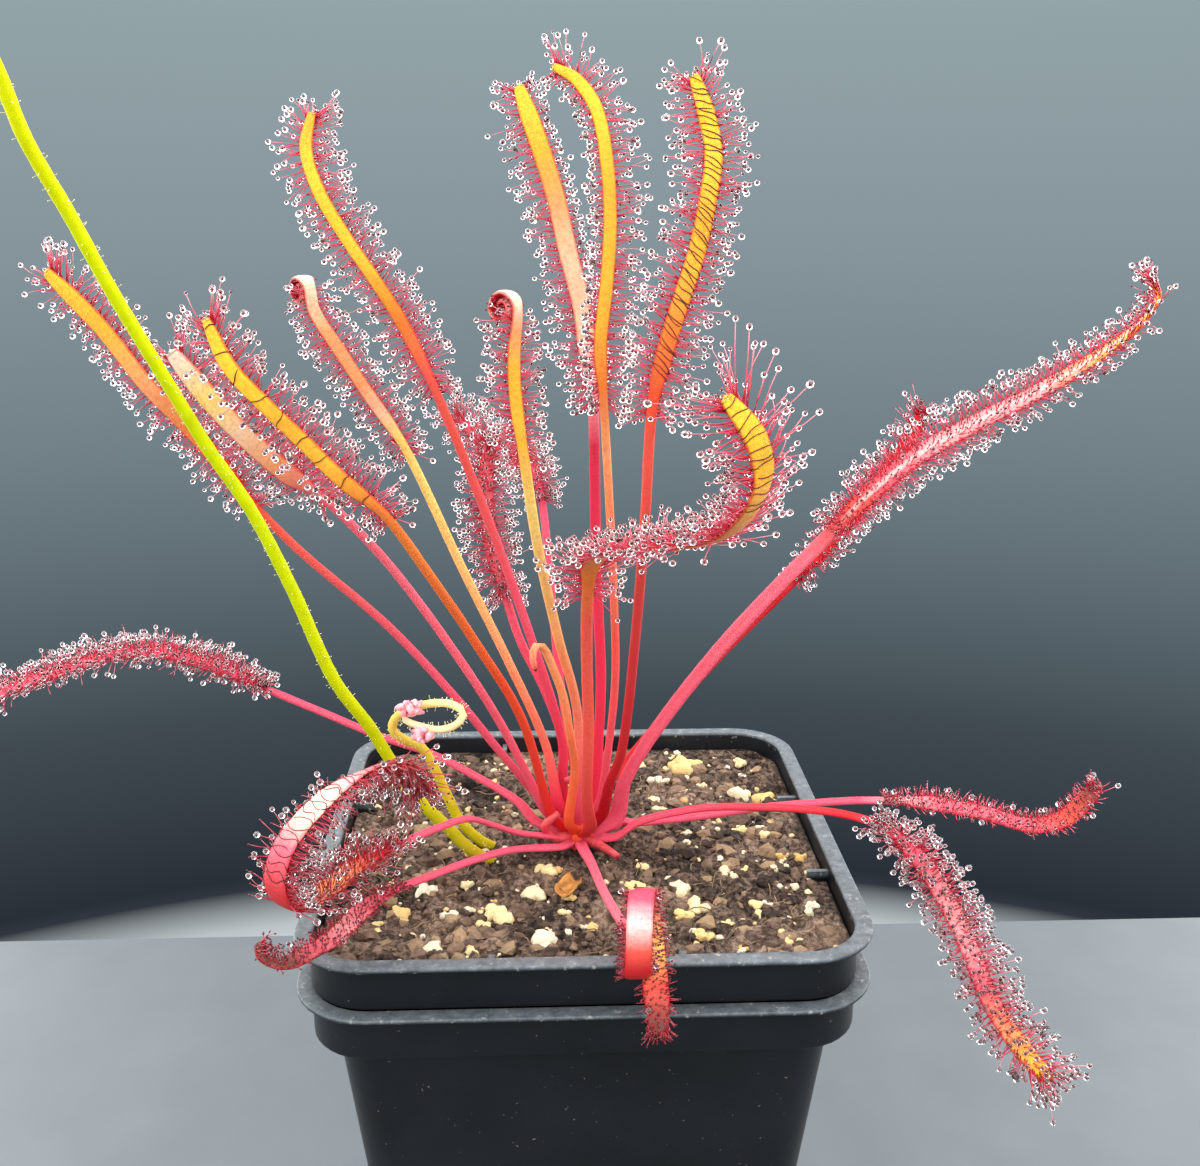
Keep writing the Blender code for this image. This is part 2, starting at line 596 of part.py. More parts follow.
def smooth_step(share):
    """Ease from 0 to 1."""
    share = min(max(share, 0.0), 1.0)
    return share * share * (3 - 2 * share)


class LeafShape:
    """Midline, widths and directions of one leaf."""

    def __init__(self, leaf):
        self.leaf = leaf
        self.midline, self.blade_start, self.curl_start = leaf_midline(leaf)
        self.length = self.midline.length
        stations = self.midline.stations(0.0, self.blade_start, RING_GAP_PETIOLE, RING_TURN, RING_GAP_LEAST)
        if leaf.blade:
            stations += self.midline.stations(self.blade_start, self.length - POINT_LENGTH, RING_GAP_BLADE,
                                              RING_TURN, RING_GAP_LEAST)[1:]
        self.stations = stations

    def directions(self, distance):
        """Tangent, direction across the leaf and direction of its upper side."""
        tangent = self.midline.tangent(distance)
        seen_at = min(distance, self.curl_start)
        share = (seen_at - self.blade_start) / max(self.curl_start - self.blade_start, 1.0)
        if self.leaf.across:
            across = between(self.leaf.across, share)
        elif self.leaf.upper_side:
            across = between(self.leaf.upper_side, share).cross(self.midline.tangent(seen_at))
        else:
            across = Vector((1, 0, 0))
        across = (across - tangent * across.dot(tangent)).normalized()
        return tangent, across, tangent.cross(across)

    def half_width(self, distance):
        """Half the leaf's width, petiole and blade."""
        petiole = PETIOLE_HALF_WIDTH * self.leaf.petiole_width
        blade = BLADE_HALF_WIDTH * self.leaf.blade_width if self.leaf.blade else petiole
        width = petiole + (blade - petiole) * smooth_step((distance - self.blade_start) / BLADE_WIDENING)
        to_tip = min(1.0, (self.length - distance) / BLADE_NARROWING)
        return width * (BLADE_TIP_SHARE + (1 - BLADE_TIP_SHARE) * math.sqrt(max(to_tip, 0.0)))

    def half_thickness(self, distance):
        """Half the leaf's thickness at its middle."""
        share = smooth_step((distance - self.blade_start) / BLADE_WIDENING)
        return PETIOLE_HALF_THICKNESS + (BLADE_HALF_THICKNESS - PETIOLE_HALF_THICKNESS) * share

    def ring(self, distance):
        """Six points round the leaf: edge, two on the upper side, edge, two on the lower side."""
        centre = self.midline.at(distance)
        _, across, up = self.directions(distance)
        width, thickness = self.half_width(distance), self.half_thickness(distance)
        places = [(-1, 0), (-RIDGE_SHARE, 1), (RIDGE_SHARE, 1), (1, 0), (RIDGE_SHARE, -1), (-RIDGE_SHARE, -1)]
        return [centre + across * width * side + up * thickness * height for side, height in places]


def segment_gap(start, end, other_start, other_end):
    """Shortest distance between two straight segments."""
    along, other, between_starts = end - start, other_end - other_start, start - other_start
    a, e = along.dot(along), other.dot(other)
    b, c, f = along.dot(other), along.dot(between_starts), other.dot(between_starts)
    spread = a * e - b * b
    share = min(max((b * f - c * e) / spread, 0.0), 1.0) if spread > 1e-9 else 0.0
    other_share = (b * share + f) / e
    if other_share < 0.0:
        other_share, share = 0.0, min(max(-c / a, 0.0), 1.0)
    elif other_share > 1.0:
        other_share, share = 1.0, min(max((b - c) / a, 0.0), 1.0)
    return (start + along * share - other_start - other * other_share).length


class Space:
    """What already takes up room among the leaves: leaf pieces, stems and tentacles."""

    OWN_REACH = 7.0

    def __init__(self):
        self.taken = []

    def add(self, start, end, radius, owner, place):
        """Take up room along a segment."""
        middle = (start + end) / 2
        self.taken.append((start, end, radius, owner, place, middle, (end - start).length / 2 + radius))

    def is_free(self, start, end, radius, owner, place):
        """Whether a tentacle fits there without touching anything else."""
        if max(abs(end.x), abs(end.y)) < FLANGE_HALF + CLEAR_BESIDE_RIM and end.z < CLEAR_ABOVE_RIM:
            return False
        middle = (start + end) / 2
        reach = (end - start).length / 2 + radius + TENTACLE_CLEARANCE
        for other in self.taken:
            if (other[5] - middle).length > other[6] + reach:
                continue
            if other[3] == owner and other[4] is not None and abs(other[4] - place) < self.OWN_REACH:
                continue
            if segment_gap(start, end, other[0], other[1]) < radius + other[2] + TENTACLE_CLEARANCE:
                return False
        return True


class LeafMesh:
    """Points and faces of one leaf with its tentacles."""

    def __init__(self, shape, space):
        self.shape = shape
        self.space = space
        self.points = []
        self.faces = []

    def add_point(self, point):
        """Add a point and give its number."""
        self.points.append(point)
        return len(self.points) - 1

    def add_tentacle(self, cell, centre, root_radius, direction, reach, owner_place):
        """Grow a three-sided stalk with a gland out of a face, if there is room for it."""
        shape = self.shape
        for shorter in TENTACLE_SHORTER:
            spread = Vector([RNG.uniform(-TENTACLE_SPREAD, TENTACLE_SPREAD) for _ in range(3)])
            lean = (direction + spread).normalized()
            length = reach * shorter
            if length < TENTACLE_SHORTEST:
                break
            foot = centre + lean * BLADE_HALF_THICKNESS
            head = centre + lean * length
            if self.space.is_free(foot, head, TENTACLE_HEAD, shape.leaf.name, owner_place):
                break
        else:
            return False
        if length < TENTACLE_SHORTEST:
            return False
        self.space.add(foot, head, TENTACLE_HEAD, shape.leaf.name, None)
        corners = [self.points[index] for index in cell]
        normal = (corners[1] - corners[0]).cross(corners[-1] - corners[0]).normalized()
        first = corners[0] + corners[1] - 2 * corners[2]
        if len(cell) == 4:
            first = corners[0] + corners[1] - corners[2] - corners[3]
        first = (first - normal * first.dot(normal)).normalized()
        root = [self.add_point(centre + Matrix.Rotation(turn, 3, normal) @ first * root_radius)
                for turn in THIRDS]
        p0, p1, p2 = root
        last = cell[-1]
        self.faces += [(cell[0], cell[1], p0), (cell[1], p1, p0), (cell[1], cell[2], p1),
                       (cell[2], p2, p1), (last, cell[0], p2), (cell[0], p0, p2)]
        if len(cell) == 4:
            self.faces.append((cell[2], last, p2))
        flat = (self.points[root[0]] - centre)
        flat = (flat - lean * flat.dot(lean)).normalized()
        below = root
        for share, radius in ((1 - 1.1 * TENTACLE_HEAD / length, TENTACLE_NECK), (1.0, TENTACLE_HEAD)):
            ring = [self.add_point(centre + lean * length * share
                                   + Matrix.Rotation(turn, 3, lean) @ flat * radius)
                    for turn in THIRDS]
            for side in range(3):
                following = (side + 1) % 3
                self.faces.append((below[side], below[following], ring[following], ring[side]))
            below = ring
        tip = self.add_point(head + lean * TENTACLE_HEAD)
        for side in range(3):
            self.faces.append((below[side], below[(side + 1) % 3], tip))
        return True

    def cell_tentacle(self, cell, strip, distance):
        """Grow a tentacle from one face of the blade's upper side."""
        corners = [self.points[index] for index in cell]
        tangent, across, up = self.shape.directions(distance)
        centre = sum(corners, Vector()) / 4
        shift = RNG.uniform(-TENTACLE_SHIFT, TENTACLE_SHIFT)
        centre += (corners[1] + corners[2] - corners[0] - corners[3]) / 4 * shift
        width = min((corners[3] - corners[0]).length, (corners[2] - corners[1]).length)
        root = min(TENTACLE_ROOT, ROOT_SHARE * width)
        rise = RNG.uniform(*TENTACLE_RISE)
        direction = [-across + up * rise, up, across + up * rise][strip]
        direction = direction + tangent * RNG.uniform(*TENTACLE_LEAN)
        reach = (TENTACLE_REACH_MIDDLE if strip == 1 else TENTACLE_REACH) * self.shape.leaf.reach
        reach *= RNG.uniform(*TENTACLE_LENGTHS)
        return self.add_tentacle(cell, centre, root, direction, reach, distance)

    def build(self, material):
        """Make the leaf's object."""
        shape = self.shape
        stations = shape.stations
        for distance in stations:
            for point in shape.ring(distance):
                self.add_point(point)
        last_on_strip = [shape.blade_start - 1.0, shape.blade_start + 1.0, shape.blade_start + 1.0]
        spacing = (TENTACLE_SPACING, 2 * TENTACLE_SPACING, TENTACLE_SPACING)
        self.faces.append((0, 1, 2, 3, 4, 5))
        for level in range(len(stations) - 1):
            distance = (stations[level] + stations[level + 1]) / 2
            for side in range(6):
                a, b = 6 * level + side, 6 * level + (side + 1) % 6
                cell = (a, a + 6, b + 6, b)
                grown = False
                on_blade = shape.leaf.blade and shape.blade_start < distance < shape.curl_start - BARE_TIP
                if side < 3 and on_blade and distance - last_on_strip[side] >= spacing[side]:
                    grown = self.cell_tentacle(cell, side, distance)
                    if grown:
                        last_on_strip[side] = distance
                if not grown:
                    self.faces.append(cell)
        self.close_tip()
        return make_object(shape.leaf.name, self.points, self.faces, material)

    def close_tip(self):
        """Close the end in a point, with the longest tentacles round it."""
        shape = self.shape
        last = 6 * (len(shape.stations) - 1)
        tangent, across, up = shape.directions(shape.length)
        tip = self.add_point(shape.midline.at(shape.length) + tangent * POINT_LENGTH / 2)
        with_tentacles = shape.leaf.blade and not shape.leaf.curl_turns
        for side in range(6):
            cell = (last + side, tip, last + (side + 1) % 6)
            grown = False
            if side < 3 and with_tentacles:
                corners = [self.points[index] for index in cell]
                centre = sum(corners, Vector()) / 3
                direction = tangent + across * TIP_SPREAD * (side - 1) + up * TIP_RISE
                reach = TENTACLE_REACH_TIP * shape.leaf.reach
                grown = self.add_tentacle(cell, centre, TENTACLE_TIP_ROOT, direction, reach, shape.length)
            if not grown:
                self.faces.append(cell)


def make_tube(name, midline, radii, sides, material):
    """A round stem along a midline, tapering from the first radius to the second."""
    rings = []
    turned = Vector((0, 0, 1)).cross(midline.tangent(0.0))
    if turned.length < 0.2:
        turned = Vector((1, 0, 0))
    stations = midline.stations(0.0, midline.length, STEM_RING_GAP, STEM_RING_TURN, STEM_RING_GAP_LEAST)
    for distance in stations:
        tangent = midline.tangent(distance)
        turned = (turned - tangent * turned.dot(tangent)).normalized()
        radius = radii[0] + (radii[1] - radii[0]) * distance / midline.length
        centre = midline.at(distance)
        rings.append([centre + Matrix.Rotation(2 * math.pi * step / sides, 3, tangent) @ turned * radius
                      for step in range(sides)])
    return loft(name, rings, material)


def make_bud(name, base, direction, size, material):
    """An egg-shaped bud on the flower stem."""
    direction = direction.normalized()
    outward = direction.orthogonal().normalized()
    rings = []
    for height, width in BUD_PROFILE:
        centre = base + direction * BUD_HALF_LENGTH * height * size
        rings.append([centre + Matrix.Rotation(2 * math.pi * step / BUD_SIDES, 3, direction) @ outward
                      * BUD_HALF_WIDTH * width * size for step in range(BUD_SIDES)])
    return loft(name, rings, material)


def make_flower_stem(name, route, radii, bud_count, bud_length, material):
    """A leafless stem with its buds in two rows along the nodding end."""
    midline = Midline([Vector(point) + Vector((0, 0, RIM_Z)) for point in route])
    bodies = [make_tube(name, midline, radii, STEM_SIDES, material)]
    for number in range(bud_count):
        share = number / (bud_count - 1)
        distance = midline.length - bud_length * (1 - share)
        tangent = midline.tangent(distance)
        outward = Vector((0, 0, 1)) - tangent * tangent.z
        sideways = tangent.cross(outward) * (BUD_SPREAD if number % 2 else -BUD_SPREAD)
        direction = outward + sideways + tangent * BUD_LEAN
        size = 1.0 - BUD_SHRINK * share
        bodies.append(make_bud(f"{name}_bud_{number}", midline.at(distance), direction, size, material))
    return fuse(bodies)


def make_crown(material):
    """Short stem base with the stubs of old petioles and one young leaf still rolled up."""
    profile = [(STEM_RADIUS, -STEM_DEPTH), (STEM_RADIUS, 0.0), (CROWN_RADIUS, 0.0)]
    for step in range(1, CROWN_RINGS + 1):
        angle = step / (CROWN_RINGS + 1) * math.pi / 2
        profile.append((CROWN_RADIUS * math.cos(angle), CROWN_RADIUS * math.sin(angle)))
    middle = CROWN + Vector((0, 0, RIM_Z))
    rings = []
    for radius, height in profile:
        rings.append([middle + Vector((radius * math.cos(2 * math.pi * step / CROWN_SIDES),
                                       radius * math.sin(2 * math.pi * step / CROWN_SIDES), height))
                      for step in range(CROWN_SIDES)])
    bodies = [loft("crown", rings, material)]
    for name, route in CROWN_SPROUTS.items():
        midline = Midline([Vector(point) + Vector((0, 0, RIM_Z)) for point in route])
        bodies.append(make_tube(name, midline, SPROUT_RADII, SPROUT_SIDES, material))
    return fuse(bodies)


def make_leaves(materials, stems):
    """All leaves, each with tentacles that stay clear of every other leaf and stem."""
    space = Space()
    for name, midline, radius in stems:
        for low, high in zip(midline.points[::8], midline.points[8::8]):
            space.add(low, high, radius, name, None)
    shapes = [LeafShape(leaf) for leaf in LEAVES]
    for shape in shapes:
        for low, high in zip(shape.stations, shape.stations[1:]):
            middle = (low + high) / 2
            space.add(shape.midline.at(low), shape.midline.at(high), shape.half_width(middle),
                      shape.leaf.name, middle)
    lift = Matrix.Translation(Vector((0, 0, RIM_Z * MM)))
    for shape in shapes:
        RNG.seed(shape.leaf.name)
        part = LeafMesh(shape, space).build(materials[shape.leaf.colour])
        part.data.transform(lift)
    return shapes


def low_points(midlines):
    """Points of the stems that run low over the soil."""
    return [point for midline in midlines for point in midline.points[::4]
            if point.z < LOW_UP_TO and max(abs(point.x), abs(point.y)) < FLANGE_HALF]


def main():
    """Build the whole plant in its pots."""
    clear_scene()
    materials = {name: make_material(name, 0.45) for name in COLOURS}
    make_pot("pot_outer", 0.0, materials["pot"])
    make_pot("pot_inner", NEST_STEP, materials["pot"])
    make_crown(materials["crown"])
    make_flower_stem("flower_stem_tall", TALL_STEM_ROUTE, TALL_STEM_RADII, TALL_STEM_BUDS,
                     TALL_STEM_BUD_LENGTH, materials["stem_green"])
    make_flower_stem("flower_stem_young", YOUNG_STEM_ROUTE, YOUNG_STEM_RADII, YOUNG_STEM_BUDS,
                     YOUNG_STEM_BUD_LENGTH, materials["stem_green"])
    stems = [("flower_stem_tall", Midline(TALL_STEM_ROUTE), TALL_STEM_RADII[0]),
             ("flower_stem_young", Midline(YOUNG_STEM_ROUTE), YOUNG_STEM_RADII[0])]
    shapes = make_leaves(materials, stems)
    midlines = [shape.midline for shape in shapes] + [stem[1] for stem in stems]
    make_soil(low_points(midlines), materials["soil"])


main()
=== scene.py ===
"""Looks of the potted sundew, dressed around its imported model.

Lengths are in millimetres and turned into metres where a mesh is made. Points of the plant are given
from the middle of the inner pot's rim, X to the right, Y away from the front and Z up.
"""

import math
from dataclasses import dataclass, field

import bmesh
import bpy
import numpy as np
from mathutils import Matrix, Vector, noise


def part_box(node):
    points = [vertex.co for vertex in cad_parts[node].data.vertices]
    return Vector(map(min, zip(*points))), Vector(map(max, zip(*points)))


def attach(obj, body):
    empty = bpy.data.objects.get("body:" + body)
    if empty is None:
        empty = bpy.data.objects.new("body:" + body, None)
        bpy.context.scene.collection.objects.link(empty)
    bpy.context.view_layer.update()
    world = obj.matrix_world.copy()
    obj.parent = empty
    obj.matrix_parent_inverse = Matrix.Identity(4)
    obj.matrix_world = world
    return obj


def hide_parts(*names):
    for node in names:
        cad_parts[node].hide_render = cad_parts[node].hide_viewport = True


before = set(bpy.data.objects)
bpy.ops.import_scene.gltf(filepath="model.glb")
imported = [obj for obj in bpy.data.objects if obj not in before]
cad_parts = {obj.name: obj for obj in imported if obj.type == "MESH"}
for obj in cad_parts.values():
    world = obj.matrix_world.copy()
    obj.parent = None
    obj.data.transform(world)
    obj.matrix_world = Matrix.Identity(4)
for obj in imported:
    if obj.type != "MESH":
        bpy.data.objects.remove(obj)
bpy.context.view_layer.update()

MM = 0.001
SEED = 27
RIM_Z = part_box("pot_inner")[1].z / MM

# Pots
POT_HEIGHT = 95.0
POT_WALL = 0.6
FLANGE_HALF = 45.0
FLANGE_CORNER = 12.0
FLANGE_THICKNESS = 0.8
BAND_HALF = 42.7
BAND_CORNER = 9.7
BAND_HEIGHT = 8.3
BODY_HALF = 39.2
BODY_CORNER = 6.5
BODY_TAPER = 0.1086
BASE_CORNER = 5.0
DRAIN_RADIUS = 4.0
DRAIN_PLACE = 17.0
LUG_PLACE = 14.5
LUG_THICKNESS = 0.9
LUG_BELOW_RIM = 1.8
CORNER_STEPS = 9
POT_SIDE_STEPS = 6
SOIL_SIDE_STEPS = 72

# Soil
SOIL_LEVEL = -3.6
SOIL_RELIEF = 0.9
SOIL_GRAIN = 7.0
SOIL_FINE_GRAIN = 3.0
SOIL_FINE_SHARE = 0.6
CALM_ROUND_CROWN = 6.0
CALM_ALONG_WALL = 5.0
SOIL_ROUGHNESS = 1.35
SOIL_RINGS = 58

# Lumps of perlite that stand out in the photo: place and size
LARGE_LUMPS = [
    (22.7, 32.7, 2.9), (16.9, 25.5, 1.4), (14.2, 16.5, 1.2), (31.6, 18.1, 2.3), (36, 16.6, 1.9),
    (14.8, 12.1, 1.6), (22.4, 20.7, 1.0), (34.5, 33, 1.5), (13.6, 34.5, 1.0), (-13.7, -23.5, 2.4),
    (-19.9, -14.1, 1.3), (-5.9, -11, 1.8), (-7.6, -17.3, 1.9), (-4.5, 3.5, 1.1), (16.1, -17.5, 2.3),
    (19.1, -23.2, 1.5), (9.2, -15.6, 1.6), (0.8, -29.5, 1.1), (16.2, -26.2, 1.3), (18.8, -32.3, 1.5),
    (-5.9, -33, 2.1), (-24.1, -34.5, 2), (-29.8, -24.5, 1.9), (-21.7, -24.8, 1.4), (-26.4, -16.6, 1.9),
    (-29.6, 9.5, 1.1), (-20.5, 14.2, 1.2), (28.3, -11.7, 0.9), (28.7, -25.1, 1), (37.6, -23.9, 1.2),
    (24.9, -11.6, 1.4), (32.4, -27.4, 0.9), (35.6, -8.4, 0.9), (-31, 27, 1.5), (-12, 31, 1.3),
    (2, 27, 1.7), (-22, 22, 1.1), (30, 4.5, 1.2),
]

# Litter on the soil
CRUMB_COUNT = 1500
CRUMB_SIZES = (0.4, 1.9)
PERLITE_COUNT = 330
PERLITE_SIZES = (0.3, 1.3)
LARGE_LUMP_GRAINS = 6
MIDDLE_LUMP_GRAINS = 3
LARGE_LUMP_SIZE = 1.3
MIDDLE_LUMP_SIZE = 0.8
GRAIN_SHARES = (0.4, 0.72)
PERLITE_CLEAR_OF_CROWN = 5.0
LITTER_CLEAR_OF_CROWN = 4.0
LITTER_CLEAR_OF_STEMS = 0.9
LITTER_SIZE_POWER = 2.2
SOIL_REACH = 40.0
FIBRE_COUNT = 380
FIBRE_SIZES = (0.5, 3.2)
FIBRE_RADII = (0.05, 0.1, 0.11, 0.1, 0.08, 0.04)
FIBRE_LIFT = 0.35
DRY_LEAF_HALF_WIDTH = 1.9
DRY_LEAF_HALF_LENGTH = 3.2
DRY_LEAF_THICKNESS = 0.22
DRY_LEAF_PLACE = (-2.4, -17.5, -2.6)
DRY_LEAF_TURN = -24

# Crown
CROWN = np.array((0.0, 1.0, -3.2))
CROWN_RADIUS = 6.0
CAD_GAP = 0.3
START_IN_CROWN = 1.5
BASE_RUN = 2.5
CROWN_PROFILE = (
    (-9.0, 2.2), (-4.0, 2.4), (-1.0, 2.9), (0.6, 3.2), (1.8, 3.1), (3.0, 2.7), (4.2, 2.1), (5.2, 1.2),
    (5.8, 0.3),
)
CROWN_SIDES = 24
CROWN_FOLDS = 7
CROWN_FOLD_DEPTH = 0.14
STUB_RADII = (1.15, 0.8, 0.6)

# Leaves
PETIOLE_HALF_WIDTH = 0.8
PETIOLE_HALF_THICKNESS = 0.55
PETIOLE_GROOVE = 0.3
FOOT_WIDENING = 0.35
FOOT_END = 5.0
FOOT_NARROWING = 14.0
BLADE_HALF_WIDTH = 1.9
BLADE_HALF_THICKNESS = 0.38
ROLLED_HALF_THICKNESS = 0.47
BLADE_TIP_SHARE = 0.45
BLADE_WIDENING = 7.0
BLADE_NARROWING = 6.0
BLADE_GROOVE = 0.1
BLADE_EDGE_POWER = 0.8
GROOVE_HALF_WIDTH = 0.35
POINT_LENGTH = 0.8
TIP_REACH = 0.3
SKIN_UNEVENNESS = 0.05
CURL_RADIUS = 2.5
CURL_TIGHTENING = 0.73
CURL_STEPS = 13
CURL_WIDENING = 0.4
CURL_WIDENS_OVER = 2.5
CURL_THICKENS_OVER = 2.0
SECTION_POINTS = 16
RING_GAP_PETIOLE = 1.5
RING_GAP_BLADE = 0.7
RING_GAP_CURL = 0.4
EDGE_RED = 0.75
EDGE_RED_AGED = 0.35

# Tentacles, in columns with a place across the blade and a gap along it
COLUMNS = ((1.0, 0.85), (0.93, 1.0), (0.8, 1.15), (0.6, 1.3), (0.36, 1.5), (0.12, 1.8))
COLUMN_UNEVENNESS = 0.12
STALKS_BEFORE_BLADE = 1.5
STALKS_BEFORE_TIP = 0.4
STALKS_BEFORE_CURLED_TIP = 0.8
TIP_STALKS = 24
TIP_STALK_RUN = 1.8
CROWDING_AT_START = 1.15
REACH_EDGE = 4.6
REACH_MIDDLE = 1.4
REACH_POWER = 1.4
REACH_SPREAD = (0.62, 1.12)
LONGER_AT_TIP = 0.3
SHORTER_AT_START = 0.18
TILT_AT_EDGE = math.radians(88)
TILT_POWER = 1.1
TILT_SPREAD = math.radians(13)
FORWARD_AT_TIP = 1.1
BACK_AT_START = 0.7
TIP_RUN = 6.0
START_RUN = 5.0
CURLED_DRY_SHARE = 0.6
ROLLED_REACH = 0.55
ROLLED_SHARE = 0.45
CLEAR_OF_FLANGE = 0.6
CLEAR_OF_RIM = 0.5
LOWEST_OVER_POT = -12
STALK_STEPS = 4
STALK_RADIUS = 0.11
GLAND_RADIUS = 0.18
DROP_RADIUS = 0.47
INNER_PLACE = 0.85
INNER_DROP_SHARE = 0.72
DROP_SIZES = (0.7, 1.14)
GLAND_STRETCH = 1.5
DROP_STRETCH = 1.1
WRAP_STEPS = 10
WRAP_RADII = (0.1, 0.065)
WRAP_LIFT = 0.09
WRAP_WAVES = 0.12
WRAP_WAVES_AGED = 0.45


def srgb(red, green, blue):
    """Linear colour from the usual 0 to 255 values."""
    return tuple((value / 255) ** 2.2 for value in (red, green, blue)) + (1.0,)


HOT_PINK = srgb(222, 88, 112)
PINK = srgb(238, 110, 125)
PALE_PINK = srgb(248, 170, 172)
BLUSH = srgb(252, 210, 205)
DEEP_PINK = srgb(212, 55, 82)
RED = srgb(212, 45, 50)
DEEP_RED = srgb(165, 25, 38)
CORAL = srgb(235, 95, 80)
CRIMSON = srgb(200, 60, 62)
RED_ORANGE = srgb(232, 85, 50)
ORANGE = srgb(238, 130, 60)
PEACH = srgb(246, 165, 110)
PALE_PEACH = srgb(250, 205, 165)
GOLD = srgb(246, 182, 60)
YELLOW = srgb(248, 205, 62)
PALE_YELLOW = srgb(252, 220, 120)
CREAM = srgb(255, 236, 208)
WITHERED = srgb(118, 82, 75)


@dataclass
class Leaf:
    """One leaf: its midline from the crown on, its widths and its looks.

    It leaves the crown at an azimuth and a lean from upright, both in degrees. The directions of its upper
    side, or those across it, and its colours are spread evenly along it. Reach scales all tentacles,
    side_reach those on either side and face those in the middle. Dew is the share of tentacles that carry a
    drop, and curled the share that bends inward. Wraps are tentacles bent over the smooth side. Bare is how
    far out the blade's looks begin past its first point.
    """

    name: str
    azimuth: float
    lean: float
    petiole: list
    blade: list = field(default_factory=list)
    upper_side: list = field(default_factory=list)
    across: tuple = ()
    petiole_width: float = 1.0
    blade_width: float = 1.0
    curl_turns: float = 0.0
    reach: float = 1.0
    side_reach: tuple = (1.0, 1.0)
    slot: str = "leaf_pink"
    petiole_colours: tuple = (DEEP_PINK, HOT_PINK)
    under: tuple = (PINK, PALE_PINK)
    upper: tuple = (DEEP_PINK, DEEP_PINK)
    dew: float = 1.0
    curled: float = 0.0
    face: float = 1.0
    aged: bool = False
    wraps: int = 0
    wraps_from: float = 0.1
    wraps_slant: tuple = (-1.0, 1.0)
    bare: float = 0.0
    inner_dew: float = 1.0
    midrib_highlight: float = 0.0


